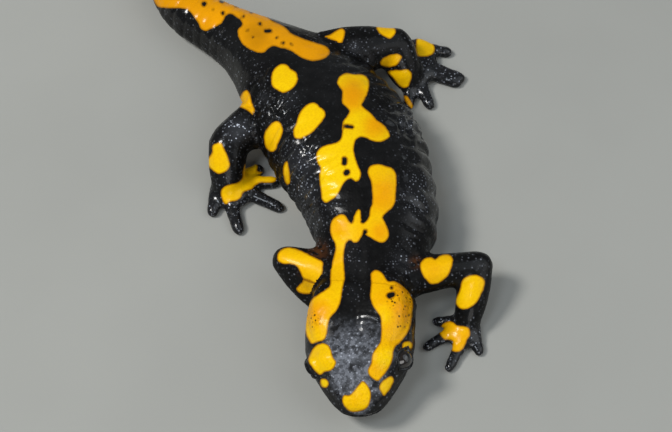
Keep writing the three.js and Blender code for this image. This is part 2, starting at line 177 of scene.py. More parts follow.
# ---------------------------------------------------------------- blotches
# Outlines of the blotches in the camera's picture, in picture points, each a smooth closed curve, and how
# orange each is: 0 is lemon, 1 is deep amber. One lies on the right hip and runs on over the thigh.
RIGHT_HIP = (0.55, [
    (236, 103), (239, 98), (243, 92), (247, 90), (250, 94), (252, 102), (255, 111), (253, 115), (248, 111),
    (242, 108), (237, 106),
])
BODY_BLOTCHES = {
    "snout": (0.30, [
        (363, 381), (368, 386), (371, 393), (370, 402), (367, 408), (361, 411), (355, 412), (349, 411),
        (344, 406), (342, 400), (344, 395), (349, 395), (352, 393), (356, 388), (360, 383),
    ]),
    "right eyelid": (0.30, [
        (311, 352), (315, 346), (322, 343), (328, 345), (331, 350), (333, 357), (336, 362), (334, 368),
        (330, 371), (325, 372), (320, 375), (315, 371), (311, 366), (308, 360),
    ]),
    "band over the neck": (0.4, [
        (372, 203), (372, 193), (371, 182), (368, 175), (368, 169), (372, 165), (379, 164), (386, 166),
        (392, 168), (396, 174), (396, 193), (395, 203), (392, 208), (386, 213), (383, 217), (385, 222),
        (388, 229), (389, 236), (386, 241), (381, 243), (376, 241), (371, 238), (367, 236), (364, 233),
        (361, 238), (358, 242), (354, 243), (350, 240), (347, 242), (345, 248), (344, 256), (344, 264),
        (345, 278), (343, 287), (340, 304), (337, 310), (332, 316), (329, 321), (328, 327), (327, 334),
        (324, 340), (318, 342), (312, 344), (308, 339), (305, 331), (304, 322), (305, 312), (308, 304),
        (313, 298), (320, 293), (326, 289), (330, 285), (330, 277), (331, 268), (333, 259), (335, 251),
        (335, 244), (332, 238), (330, 230), (331, 222), (335, 217), (341, 214), (346, 216), (349, 221),
        (352, 223), (354, 216), (357, 210), (360, 209), (361, 214), (362, 220), (366, 221), (369, 216),
        (370, 209),
    ]),
    "left gland": (0.55, [
        (371, 273), (375, 270), (380, 271), (384, 275), (388, 281), (394, 281), (400, 284), (406, 289),
        (411, 296), (413, 304), (412, 314), (411, 324), (408, 332), (404, 338), (400, 343), (396, 346),
        (394, 350), (393, 357), (391, 364), (387, 371), (382, 377), (378, 381), (373, 379), (369, 375),
        (368, 370), (371, 363), (372, 355), (376, 348), (380, 342), (381, 335), (381, 326), (380, 317),
        (376, 311), (372, 304), (370, 296), (371, 284),
    ]),
    "left cheek": (0.35, [
        (380, 384), (385, 379), (391, 376), (394, 379), (392, 386), (388, 392), (384, 396), (381, 392),
        (379, 388),
    ]),
    "left jaw corner": (0.35, [
        (403, 343), (408, 341), (412, 343), (412, 348), (408, 349), (404, 350), (402, 347),
    ]),
    "right lip": (0.10, [(321, 379), (326, 379), (329, 384), (326, 388), (322, 387), (320, 383)]),
    "middle of the back": (0.15, [
        (337, 82), (340, 76), (346, 73), (354, 74), (361, 74), (366, 76), (369, 81), (369, 88), (367, 95),
        (364, 101), (362, 105), (367, 110), (372, 114), (377, 120), (383, 124), (388, 130), (390, 136),
        (386, 140), (379, 142), (372, 141), (366, 138), (361, 137), (356, 140), (354, 147), (355, 156),
        (358, 165), (361, 173), (360, 179), (356, 182), (352, 179), (349, 179), (344, 183), (340, 191),
        (336, 197), (330, 201), (326, 203), (322, 200), (321, 193), (319, 177), (320, 168), (317, 162),
        (316, 155), (319, 149), (326, 145), (334, 143), (340, 140), (342, 133), (342, 127), (343, 121),
        (347, 116), (349, 111), (346, 107), (342, 103), (342, 91), (339, 87),
    ]),
    "round spot": (0.20, [
        (271, 80), (272, 73), (276, 67), (281, 64), (287, 65), (291, 69), (296, 72), (298, 79), (295, 86),
        (289, 91), (283, 93), (277, 90), (272, 86),
    ]),
    "oval spot": (0.20, [
        (293, 131), (296, 123), (299, 114), (304, 107), (310, 103), (316, 103), (320, 107), (325, 111),
        (325, 117), (320, 124), (314, 131), (307, 136), (300, 139), (295, 138),
    ]),
    "right flank": (0.35, [
        (264, 141), (264, 134), (268, 127), (273, 122), (278, 121), (282, 125), (283, 131), (281, 138),
        (278, 144), (276, 150), (271, 152), (266, 148),
    ]),
    "right flank sliver": (0.40, [
        (283, 168), (285, 162), (287, 161), (289, 167), (290, 176), (290, 183), (287, 185), (284, 179),
    ]),
    "right hip": RIGHT_HIP,
    "rump and tail": (1.25, [
        (148, -14), (154, 2), (158, 7), (165, 8), (185, 9), (190, 12), (194, 17), (198, 23), (201, 29),
        (206, 31), (211, 29), (217, 26), (222, 23), (226, 16), (231, 14), (236, 17), (241, 21), (242, 25),
        (238, 29), (238, 35), (241, 42), (246, 47), (253, 51), (260, 53), (265, 52), (269, 48), (274, 46),
        (280, 48), (286, 49), (291, 51), (297, 55), (304, 59), (312, 61), (320, 60), (327, 57), (330, 52),
        (327, 47), (321, 44), (314, 42), (305, 39), (297, 36), (291, 33), (286, 28), (280, 24), (273, 21),
        (268, 17), (264, 12), (256, 9), (248, 5), (240, 1), (234, -6), (225, -16),
        (206, -21), (192, -27), (184, -37), (175, -44), (165, -43), (157, -35), (150, -25),
    ]),
}
LIMB_BLOTCHES = {
    "left_arm": {
        "upper arm": (0.50, [
            (421, 262), (425, 258), (431, 257), (435, 259), (439, 256), (444, 254), (450, 255), (453, 259),
            (452, 266), (450, 272), (447, 277), (442, 281), (437, 284), (431, 284), (426, 280), (422, 274),
            (420, 267),
        ]),
        "forearm": (0.35, [
            (461, 283), (464, 278), (470, 275), (477, 275), (482, 277), (485, 281), (484, 288), (481, 295),
            (477, 302), (473, 306), (467, 309), (461, 309), (457, 306), (455, 302), (457, 296), (460, 289),
        ]),
        "hand": (0.6, [
            (439, 332), (440, 327), (444, 323), (449, 321), (453, 322), (457, 325), (463, 326), (468, 327),
            (470, 331), (470, 336), (467, 340), (465, 346), (461, 351), (456, 352), (452, 351), (451, 347),
            (453, 342), (450, 340), (445, 340), (441, 336),
        ]),
    },
    "right_arm": {
        "upper arm": (0.45, [
            (277, 258), (278, 253), (282, 249), (288, 247), (294, 248), (300, 250), (306, 253), (312, 256),
            (318, 259), (323, 262), (323, 268), (322, 275), (320, 281), (317, 284), (310, 281), (303, 278),
            (300, 272), (296, 266), (290, 264), (284, 264), (279, 262),
        ]),
        "forearm": (0.50, [
            (303, 279), (308, 281), (314, 283), (318, 286), (316, 290), (312, 293), (306, 294), (300, 293),
            (296, 289), (299, 285), (302, 282),
        ]),
    },
    "left_leg": {
        "thigh": (0.60, [
            (324, 37), (331, 34), (337, 30), (342, 28), (345, 31), (344, 38), (341, 44), (335, 41),
            (329, 39),
        ]),
        "knee": (0.45, [
            (376, 25), (380, 22), (387, 23), (394, 27), (396, 31), (394, 36), (390, 39), (385, 37),
            (380, 34), (377, 30),
        ]),
        "heel": (0.35, [
            (416, 42), (417, 38), (423, 36), (430, 39), (434, 45), (435, 50), (433, 54), (429, 56),
            (423, 57), (418, 56), (416, 50),
        ]),
        "shank": (0.50, [
            (380, 63), (382, 59), (387, 56), (393, 54), (399, 54), (402, 57), (400, 61), (397, 65),
            (391, 67), (385, 67), (381, 65),
        ]),
        "ankle": (0.40, [
            (387, 72), (393, 70), (400, 70), (407, 69), (411, 72), (412, 77), (410, 83), (408, 87),
            (403, 88), (399, 86), (396, 82), (392, 77),
        ]),
        "inner toe": (0.70, [
            (403, 96), (407, 96), (411, 101), (414, 107), (415, 111), (409, 107), (405, 101),
        ]),
    },
    "right_leg": {
        "hip": RIGHT_HIP,
        "shin": (0.35, [
            (212, 146), (216, 143), (221, 142), (224, 148), (227, 154), (229, 160), (230, 165), (228, 170),
            (223, 173), (218, 174), (213, 171), (208, 166), (206, 162), (209, 157), (212, 152),
        ]),
        "foot": (0.40, [
            (245, 164), (250, 162), (256, 163), (258, 167), (257, 171), (262, 172), (268, 174), (275, 175),
            (277, 178), (275, 182), (268, 183), (261, 183), (256, 185), (252, 189), (247, 191), (243, 193),
            (241, 198), (236, 201), (230, 202), (226, 205), (223, 202), (221, 196), (221, 190), (225, 186),
            (231, 184), (238, 182), (242, 178), (243, 171),
        ]),
    },
}
# Dark dots inside the blotches: where each is, or where it begins and ends, and its half width.
DARK_DOTS = [
    ((363, 221), 2.0), ((365, 231.5), 1.8), ((389.5, 295.5), (392.5, 294.5), 2.4),
    ((391.5, 287.5), (392, 288), 0.9), ((346, 126), (352, 127), 1.6), ((344.5, 159), (344.5, 163), 2.0),
    ((346.5, 172.5), 3.0), ((204, 4), 2.2), ((223, 13), 1.6), ((260, 24), 1.4),
    ((266, 31), (270, 31), 1.6), ((277, 38), 0.9), ((247, 31), (248, 30), 0.5), ((253, 37), 0.6),
    ((243, 17), (244, 16), 0.5), ((236, 6), 0.6), ((213, 10), 0.5), ((251, 12), (252, 12), 0.6),
    ((291, 44), (292, 45), 0.5), ((283, 43), 1.4), ((222, 1), 2.0),
]

# Where a blotch is paler or deeper than the rest of it: place and reach in picture points, and how orange.
TONE_SPOTS = [
    ((335, 175), 30, 0.0), ((352, 95), 26, 0.95), ((376, 126), 20, 0.8), ((386, 315), 16, 0.3),
    ((404, 312), 20, 0.85), ((400, 290), 12, 0.9), ((318, 312), 18, 0.85), ((338, 262), 22, 0.5),
    ((340, 226), 16, 0.7), ((380, 232), 14, 0.8), ((385, 358), 16, 0.1), ((382, 196), 26, 0.8),
    ((357, 398), 16, 0.4), ((256, 36), 22, 1.8), ((312, 52), 14, 0.9), ((222, 16), 16, 1.0),
    ((180, 0), 28, 1.45),
]
# Spots in the camera's picture, with their reach. Dark pores open on the outer side of the glands.
PORES = [((401, 298), 18), ((402, 320), 16), ((312, 320), 11)]
# The skin of the armpits is rusty.
RUST = [((318, 251), 15), ((304, 272), 8), ((416, 262), 9), ((438, 236), 6)]
# Creases in the shade of a limb or a gland don't mirror the blotches across them.
SHADED = [((384, 86), 30), ((270, 158), 18), ((246, 140), 12), ((292, 190), 16), ((330, 333), 11)]
# The nape and the upper limbs are matt, apart from these places.
GLOSSY = [((368, 320), 18), ((219, 146), 14), ((476, 264), 10), ((472, 290), 12), ((302, 262), 14)]
MATT_LIMBS = 0.65  # against 1 on the nape
# The crown's granules and painted bluish sheen leave out the left cheek and the sides of the muzzle.
SMOOTH_CROWN = [((402, 356), 20), ((391, 372), 10), ((378, 404), 16), ((340, 404), 9)]
# Where the granules get painted highlights and sparkles, and how strongly.
SHEEN = [
    ((237, 130), 18, 2.6), ((354, 47), 9, 1.8), ((264, 98), 10, 0.9), ((290, 98), 14, 0.7),
    ((303, 162), 22, 1.4), ((305, 190), 20, 1.2), ((312, 222), 18, 0.8), ((332, 206), 12, 0.7),
    ((354, 262), 20, 0.35), ((352, 292), 16, 0.4), ((402, 262), 18, 0.8), ((412, 120), 20, 1.2),
    ((420, 195), 34, 0.55), ((225, 180), 12, 0.6),
]

# Single folds of the skin, as lines in picture points, with the height of the fold and its half width in mm.
FOLDS = [
    ([(354, 317), (362, 315), (370, 315.5), (379, 318.5)], 0.06, 0.3),
    ([(358, 321.5), (364, 320.5), (371, 321.5), (379, 324)], 0.04, 0.3),
    ([(373, 326), (377, 327.5), (382, 330)], 0.05, 0.3),
    ([(282, 110), (286, 104), (292, 97)], 0.26, 0.42),
    ([(276, 106), (280, 99), (286, 93)], 0.16, 0.4),
    ([(262, 101), (266, 98), (271, 95)], 0.26, 0.42),
    ([(270, 105), (273, 110), (275, 115)], 0.22, 0.42),
    ([(308, 152), (313, 144), (320, 138), (328, 135)], 0.24, 0.38),
    ([(306, 146), (311, 139), (317, 134)], 0.18, 0.38),
    ([(266, 84), (266, 77), (270, 69)], 0.22, 0.42),
    ([(323, 168), (330, 163), (338, 158)], 0.08, 0.4),
    ([(322, 177), (331, 170), (340, 165)], 0.08, 0.4),
    ([(392, 106), (398, 104.5), (405, 107), (412, 112)], 0.3, 0.5),
    ([(405, 115), (405.5, 121), (405, 129)], 0.3, 0.45),
    ([(412, 115), (412.5, 122), (412, 131)], 0.3, 0.45),
    ([(413, 133), (420, 132), (426, 134)], 0.3, 0.5),
    ([(388, 119), (394, 123), (398, 127)], 0.22, 0.45),
    ([(399, 160), (399.5, 172), (400, 186)], 0.12, 0.5),
    ([(425, 142), (430, 150), (434, 160)], 0.22, 0.6),
    ([(357, 250), (355.5, 262), (354, 276)], 0.12, 0.45),
    ([(367, 250), (367.5, 262), (366, 280)], 0.10, 0.45),
]


# ---------------------------------------------------------------- small helpers
def smooth_step(low, high, values):
    """0 below low, 1 above high and an even ease between them."""
    t = np.clip((values - low) / (high - low), 0, 1)
    return t * t * (3 - 2 * t)


def dome(distance, radius):
    """1 in the middle and 0 from the radius on, rounded like a low mound."""
    return np.clip(1 - (distance / radius) ** 2, 0, None) ** 2


def bell(distance, width):
    """A bell curve, 1 in the middle, that is nearly 0 at twice the width."""
    return np.exp(-((distance / width) ** 2))


def smooth_curve(points, closed=False, steps=10):
    """Close points along the centripetal Catmull-Rom curve through the given ones."""
    points = np.array(points, float)
    if closed:
        chain = np.vstack([points[-1], points, points[:2]])
    else:
        chain = np.vstack([2 * points[0] - points[1], points, 2 * points[-1] - points[-2]])
    curve = []
    for four in zip(chain, chain[1:], chain[2:], chain[3:]):
        spans = [math.sqrt(np.linalg.norm(q - p)) for p, q in zip(four, four[1:])]
        knots = [0, *np.cumsum(spans)]
        t = np.linspace(knots[1], knots[2], steps, endpoint=False)[:, None]

        def between(p, q, i, j):
            return ((knots[j] - t) * p + (t - knots[i]) * q) / (knots[j] - knots[i])

        lines = [between(four[i], four[i + 1], i, i + 1) for i in range(3)]
        arcs = [between(lines[i], lines[i + 1], i, i + 2) for i in range(2)]
        curve.append(between(*arcs, 1, 2))
    if not closed:
        curve.append(points[-1:])
    return np.vstack(curve)


def lengths(vectors):
    return np.linalg.norm(vectors, axis=1)


def unit(vector):
    return vector / np.linalg.norm(vector)


def distance_to_line(points, start, end):
    """How far each point is from a straight line between two places."""
    start, end = np.array(start, float), np.array(end, float)
    along = end - start
    t = np.clip((points - start) @ along / max(along @ along, 1e-9), 0, 1)
    return lengths(points - start - t[:, None] * along)


def in_frame(points, curve, margin):
    """Whether each point is in the upright frame round a curve."""
    return np.all((points > curve.min(0) - margin) & (points < curve.max(0) + margin), axis=1)


def inside_distance(points, outline):
    """How far each point is inside a closed outline, less than 0 outside it."""
    after = np.roll(outline, -1, axis=0)
    along = after - outline
    length2 = np.maximum((along**2).sum(1), 1e-12)
    away = points[:, None] - outline[None]
    t = np.clip((away * along).sum(2) / length2, 0, 1)
    nearest = np.sqrt(((away - t[..., None] * along) ** 2).sum(2).min(1))
    x, y = points[:, :1], points[:, 1:]
    spans = (outline[:, 1] > y) != (after[:, 1] > y)
    rise = np.where(along[:, 1] == 0, 1e-12, along[:, 1])
    crossing = outline[:, 0] + (y - outline[:, 1]) / rise * along[:, 0]
    inside = (spans & (x < crossing)).sum(1) % 2 == 1
    return np.where(inside, nearest, -nearest)


def read(elements, name, width, kind=float):
    """One property of all vertices, edges or faces as an array."""
    values = np.zeros(len(elements) * width, kind)
    elements.foreach_get(name, values)
    return values.reshape(-1, width) if width > 1 else values


def paint_vertices(mesh, name, values):
    """Gives a mesh an attribute with one value for each vertex."""
    attribute = mesh.attributes.new(name, "FLOAT", "POINT")
    attribute.data.foreach_set("value", np.asarray(values, np.float32))


def select_only(*objects):
    """Deselects everything else; the first object becomes the active one."""
    for obj in list(bpy.context.selected_objects):
        obj.select_set(False)
    for obj in objects:
        obj.select_set(True)
    bpy.context.view_layer.objects.active = objects[0] if objects else None


def apply_modifier(obj, kind, **settings):
    modifier = obj.modifiers.new(kind.title(), kind)
    for name, value in settings.items():
        setattr(modifier, name, value)
    select_only(obj)
    bpy.ops.object.modifier_apply(modifier=modifier.name)


# ---------------------------------------------------------------- body coordinates
class Midline:
    """The body's midline: places seen from above, directions and distances from the snout tip."""

    def __init__(self):
        self.places = smooth_curve(MIDLINE, steps=40) + PLAN_SHIFT
        self.at = np.concatenate([[0], np.cumsum(lengths(np.diff(self.places, axis=0)))])
        self.along = np.gradient(self.places, axis=0)
        self.along /= lengths(self.along)[:, None]
        self.left = np.stack([self.along[:, 1], -self.along[:, 0]], 1)
        self.tree = KDTree(len(self.places))
        for i, (x, y) in enumerate(self.places):
            self.tree.insert((x, y, 0), i)
        self.tree.balance()

    def index(self, at):
        return int(np.clip(np.searchsorted(self.at, at), 0, len(self.at) - 1))

    def measure(self, places):
        """For each place its distance from the snout tip and how far it is to the animal's left."""
        nearest = np.array([self.tree.find((x, y, 0))[1] for x, y, _ in places])
        away = places[:, :2] - self.places[nearest]
        at = self.at[nearest] + (away * self.along[nearest]).sum(1)
        return at, (away * self.left[nearest]).sum(1)


midline = Midline()


def widest_level(at):
    return np.interp(at, *np.array(WIDEST, float).T)


class HeadAxes:
    """The rolled head's own directions: to its left, up and towards the snout."""

    def __init__(self):
        k = midline.index(9)
        left = Vector((*midline.left[k], 0))
        self.left = left * math.cos(HEAD_ROLL) + Vector((0, 0, 1)) * math.sin(HEAD_ROLL)
        self.up = Vector((0, 0, 1)) * math.cos(HEAD_ROLL) - left * math.sin(HEAD_ROLL)
        self.ahead = Vector((*-midline.along[k], 0))


head_axes = HeadAxes()


def head_place(at, side, level):
    """A place in the rolled head: back from the snout tip, to its left, and its level before the roll."""
    k = midline.index(at)
    left = Vector((*midline.left[k], 0))
    wide = float(widest_level(at))
    rise = level - wide
    across = side * math.cos(HEAD_ROLL) - rise * math.sin(HEAD_ROLL)
    up = side * math.sin(HEAD_ROLL) + rise * math.cos(HEAD_ROLL)
    return np.array([*midline.places[k], wide + up]) + np.array(left) * across


# ---------------------------------------------------------------- the skin's surface
FAR = 100.0  # more degrees than the lids reach


class Surface:
    """The skin's vertices as arrays in millimetres, with their place along, beside and round the body."""

    def __init__(self, obj, parts):
        self.mesh = obj.data
        self.places = read(self.mesh.vertices, "co", 3) / MM
        self.edges = read(self.mesh.edges, "vertices", 2, np.int32)
        self.degree = np.bincount(self.edges.ravel(), minlength=len(self.places)).astype(float)
        self.normals = read(self.mesh.vertices, "normal", 3)
        self.part = parts.nearest(self.places)
        self.part_names = parts.names
        self.past_lid = np.full(len(self.places), FAR)  # degrees from the edge of the nearest eyelid
        self.measure()

    def measure(self):
        """Places each vertex: turn is 0 degrees on the left and 90 on top, above counts from either side."""
        self.at, self.side = midline.measure(self.places)
        self.rise = self.places[:, 2] - widest_level(self.at)
        roll = HEAD_ROLL * (1 - smooth_step(HEAD_END, ROLL_FADE_END, self.at))
        self.head_side = self.side * np.cos(roll) + self.rise * np.sin(roll)
        self.head_rise = -self.side * np.sin(roll) + self.rise * np.cos(roll)
        self.head_level = self.head_rise + widest_level(self.at)
        self.turn = np.degrees(np.arctan2(self.head_rise, self.head_side))
        self.above = np.where(self.turn > 90, 180 - self.turn, self.turn)

    def on(self, nodes):
        """1 on the skin of these nodes and 0 elsewhere."""
        wanted = [self.part_names.index(node) for node in nodes]
        return np.isin(self.part, wanted).astype(float)

    def blur(self, values, times):
        a, b = self.edges.T
        for _ in range(times):
            total = np.bincount(a, values[b], len(values)) + np.bincount(b, values[a], len(values))
            values = 0.5 * values + 0.5 * total / self.degree
        return values

    def relax(self, weight, times):
        """Evens the surface out where the weight says."""
        for _ in range(times):
            even = np.stack([self.blur(column, 1) for column in self.places.T], 1)
            self.places += (even - self.places) * weight[:, None]
        self.write()

    def push(self, height):
        """Moves each vertex along its normal by so many millimetres."""
        self.places += self.normals * height[:, None]
        self.write()

    def write(self):
        self.places[:, 2] = np.maximum(self.places[:, 2], 0)
        self.mesh.vertices.foreach_set("co", (self.places * MM).ravel())
        self.mesh.update()
        self.normals = read(self.mesh.vertices, "normal", 3)

    def paint(self, name, values):
        paint_vertices(self.mesh, name, values)


class Parts:
    """Tells which CAD node is nearest to a place."""

    def __init__(self, names):
        self.names = names
        corners, faces, owner = [], [], []
        for k, name in enumerate(names):
            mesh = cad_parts[name].data
            start = len(corners)
            corners += [v.co.copy() for v in mesh.vertices]
            faces += [[start + i for i in polygon.vertices] for polygon in mesh.polygons]
            owner += [k] * len(mesh.polygons)
        self.tree = BVHTree.FromPolygons(corners, faces)
        self.owner = owner

    def nearest(self, places):
        find = self.tree.find_nearest
        return np.array([self.owner[find(Vector(p) * MM)[2]] for p in places])


# ---------------------------------------------------------------- making the skin
SEAM_GROWTH = 0.22  # closes the gaps between the CAD pieces while they are welded
# Gives back what the smoothing takes, in millimetres.
LIMB_GROWTH = {"upper_arm": 0.16, "forearm": 0.16, "thigh": 0.16, "shank": 0.16, "hand": 0.17, "foot": 0.3}
SKIN_DEPTH = 0.2  # how far the trunk's skin lies inside the CAD pieces, under its own granules


def weld(nodes, voxel):
    """One closed mesh round copies of the nodes, with the cuts between them filled."""
    copies = []
    for node in nodes:
        copy = bpy.data.objects.new(f"{node}_copy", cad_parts[node].data.copy())
        bpy.context.scene.collection.objects.link(copy)
        copies.append(copy)
    select_only(*copies)
    bpy.ops.object.join()
    skin = bpy.context.view_layer.objects.active
    bpy.ops.object.mode_set(mode="EDIT")
    bpy.ops.mesh.select_all(action="SELECT")
    bpy.ops.mesh.remove_doubles(threshold=1e-6)
    bpy.ops.object.mode_set(mode="OBJECT")
    apply_modifier(skin, "DISPLACE", strength=SEAM_GROWTH * MM, mid_level=0)
    apply_modifier(skin, "REMESH", mode="VOXEL", voxel_size=voxel * MM)
    apply_modifier(skin, "DISPLACE", strength=-SEAM_GROWTH * MM, mid_level=0)
    return skin


SOFTENING = {  # how fast each kind of node loses its facets
    "hand": 0.14,
    "foot": 0.16,
    "forearm": 0.45,
    "shank": 0.45,
    "upper_arm": 0.5,
    "thigh": 0.55,
    "tail": 0.7,
}


def soften(skin, parts, rounds):
    """Rounds the facets off, least on the fingers and toes."""
    surface = Surface(skin, parts)
    weight = np.ones(len(surface.places))
    for kind, share in SOFTENING.items():
        nodes = [name for name in parts.names if kind in name]
        weight = np.where(surface.on(nodes) > 0, share, weight)
    weight = surface.blur(weight, 4)
    group = skin.vertex_groups.new(name="soften")
    steps = 20
    level = np.round(weight * steps).astype(int)
    for k in range(1, steps + 1):
        group.add(np.flatnonzero(level == k).tolist(), k / steps, "REPLACE")
    apply_modifier(skin, "SMOOTH", factor=0.5, iterations=rounds, vertex_group=group.name)
    skin.vertex_groups.clear()


def subdivide_where(skin, chosen):
    """Splits in four the faces whose vertices are all chosen, so that finer shapes can be modelled there."""
    select_only(skin)
    mesh = skin.data
    faces = of_faces(mesh, chosen)
    bpy.ops.object.mode_set(mode="EDIT")
    bpy.ops.mesh.select_all(action="DESELECT")
    bpy.ops.mesh.select_mode(type="FACE")
    bpy.ops.object.mode_set(mode="OBJECT")
    mesh.polygons.foreach_set("select", faces)
    bpy.ops.object.mode_set(mode="EDIT")
    bpy.ops.mesh.subdivide(number_cuts=1)
    bpy.ops.object.mode_set(mode="OBJECT")


def of_faces(mesh, chosen_vertices):
    """Turns a choice of vertices into a choice of faces that have only such vertices."""
    starts = read(mesh.polygons, "loop_start", 1, np.int32)
    corners = read(mesh.loops, "vertex_index", 1, np.int32)
    return np.minimum.reduceat(chosen_vertices[corners].astype(np.int8), starts) > 0


# The mouth: its line runs at this level of the unrolled head, back to the jaw corner.
MOUTH_LEVEL = 6.2
MOUTH_BACK = 15.8
NOSTRIL = {"at": 1.7, "side": 2.9, "level": 8.3}
EYE_REACH = 4.2  # how far from the middle of an eyeball its lids change the skin
# How far each eye looks to its own side and how far ahead.
GAZE_OUT = 0.8
GAZE_AHEAD = 0.24
# The opening between the lids, in degrees from the middle of the gaze, how far up the eye looks, how far the
# lids stand off the eyeball, how thick their edges are and how many degrees of them are black. The right eye
# is half closed.
LID = {"wide": 62.0, "lower": 44.0, "stand": 0.14, "thick": 0.28, "rim": 5.0}
LIDS = {"left": {"gaze": 0.52, "upper": 52.0}, "right": {"gaze": 0.1, "upper": 10.0}}


def mouth_level(at):
    """The mouth line dips under the muzzle and turns up at the jaw corner."""
    dip = 0.25 * np.sin(np.clip(at / 9, 0, 1) * np.pi)
    return MOUTH_LEVEL - dip + 0.7 * smooth_step(9.5, MOUTH_BACK, at)


def eye_facts(side):
    """An eyeball's middle and radius, in millimetres, and the way it looks."""
    low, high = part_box(EYE_NODES[side])
    middle = np.array((low + high) / 2) / MM
    radius = (high.y - low.y) / 2 / MM
    upward = LIDS[side]["gaze"]
    gaze = head_axes.left * SIDES[side] * GAZE_OUT + head_axes.ahead * GAZE_AHEAD + head_axes.up * upward
    return middle, radius, gaze.normalized()


def nostril_place(sign):
    return head_place(NOSTRIL["at"], NOSTRIL["side"] * sign, NOSTRIL["level"])


def refine(skin, parts):
    """A finer mesh on the head and along single folds, and finer again round the eyes and the mouth line."""
    surface = Surface(skin, parts)
    head = (surface.at < HEAD_END + 1.5) & (surface.head_level > MOUTH_LEVEL - 1.5)
    subdivide_where(skin, head)
    surface = Surface(skin, parts)
    folded = np.zeros(len(surface.places), bool)
    for chosen, away, _, half in along_folds(Picture(surface)):
        folded[chosen[away < 3 * half]] = True
    subdivide_where(skin, folded & (surface.at > HEAD_END))
    surface = Surface(skin, parts)
    surface.relax((surface.at < HEAD_END + 3) * 0.5, 4)
    crown = smooth_step(3, 6, surface.at) * (1 - smooth_step(18, 22, surface.at))
    crown *= smooth_step(30, 50, surface.above)
    surface.relax(crown, 40)
    fine = (np.abs(surface.head_level - mouth_level(surface.at)) < 0.6) & (surface.at < MOUTH_BACK + 1)
    for side, sign in SIDES.items():
        middle, radius, _ = eye_facts(side)
        fine |= lengths(surface.places - middle) < radius + 1.5
        fine |= lengths(surface.places - nostril_place(sign)) < 1.1
    subdivide_where(skin, fine & (surface.at < HEAD_END))


# ---------------------------------------------------------------- modelling the folds
GROOVE = {"first": 38.5, "pitch": 3.9, "count": 12}
TAIL_RING_PITCH = 2.7
VENT = {"at": 97.0, "long": 4.2}
# Distances from the snout tip, and the depth of each wrinkle.
THROAT_FOLD = 25.2
NAPE_WRINKLES = [(28.4, 0.22), (31.0, 0.28), (33.6, 0.2), (36.4, 0.16)]
LONG_GLAND = {"at": 20.1, "turns": (48, 132), "half_length": 8.6, "half_width": 4.9, "height": 0.3}
# Rows of small glands along the back: how far round they lie, their pitch, radius and height.
GLAND_ROWS = [((78, 102), 2.3, 0.75, 0.07), ((47, 133), 3.9, 0.95, 0.14)]


def noise_at(places, period, seed):
    """Soft noise between about -1 and 1, with bumps about one period apart."""
    shift = Vector((seed * 17.3, seed * 5.1, seed * 9.7))
    return np.array([noise.noise(Vector(p) / period + shift) for p in places])


def limb_growth(surface):
    """What the smoothing took from the limbs."""
    growth = np.zeros(len(surface.places))
    for kind, more in LIMB_GROWTH.items():
        growth += more * surface.on([f"{side}_{kind}" for side in SIDES])
    return surface.blur(growth, 3)


def flank_share(surface):
    """1 on the flanks, 0 on the back and under the belly."""
    level = np.abs(surface.turn)
    level = np.where(level > 90, 180 - level, level)
    above = surface.turn > 0
    return np.where(above, 1 - smooth_step(38, 68, level), 1 - smooth_step(25, 60, level))


def costal_grooves(surface, depth):
    """Upright furrows between the ribs, uneven in depth, with soft skin bulging between them."""
    body = surface.on(["trunk_front", "trunk_rear", "pelvis"])
    end = GROOVE["first"] + GROOVE["pitch"] * GROOVE["count"]
    reach = smooth_step(GROOVE["first"] - 5, GROOVE["first"], surface.at)
    reach *= 1 - smooth_step(end - 2, end + 4, surface.at)
    wander = 1.5 * noise_at(surface.places, 8.0, 1)
    phase = (surface.at + wander - GROOVE["first"]) / GROOVE["pitch"]
    away = (phase - np.round(phase)) * GROOVE["pitch"]
    uneven = np.clip(0.55 + 0.9 * noise_at(surface.places, 6.0, 11), 0.05, 1.2)
    furrow = bell(away, 0.6) * uneven
    swell = np.cos(np.pi * away / GROOVE["pitch"]) ** 2
    wrinkles = noise_at(surface.places * (1, 1, 0.45), 1.3, 2)
    share = flank_share(surface) * reach * body
    return share * (-depth * furrow - depth * 0.3 * swell + 0.06 * wrinkles)


def along_folds(picture):
    """Each single fold's vertices, how far they are from its line, and its height and width."""
    for line, rise, half in FOLDS:
        curve = smooth_curve(line, steps=6)
        chosen = np.flatnonzero(in_frame(picture.points, curve, 4 * half * PICTURE_SCALE) & picture.shown)
        points = picture.points[chosen]
        away = np.min([distance_to_line(points, a, b) for a, b in zip(curve, curve[1:])], axis=0)
        yield chosen, away / PICTURE_SCALE, rise, half


def single_folds(surface, picture):
    """The folds that stand out alone, each a low ridge between two furrows."""
    height = np.zeros(len(surface.places))
    for chosen, away, rise, half in along_folds(picture):
        height[chosen] += rise * (bell(away, half) - 0.6 * bell(away - 2 * half, half))
    return surface.blur(height, 1)


def tail_rings(surface, depth):
    """Shallow rings round the tail."""
    tail = smooth_step(98, 106, surface.at) * surface.on(["pelvis", "tail_root", "tail_middle", "tail_end"])
    phase = (surface.at + 0.35 * noise_at(surface.places, 4.0, 3)) / TAIL_RING_PITCH
    away = (phase - np.round(phase)) * TAIL_RING_PITCH
    return -depth * tail * bell(away, 0.35) * (1 - smooth_step(165, 176, surface.at))


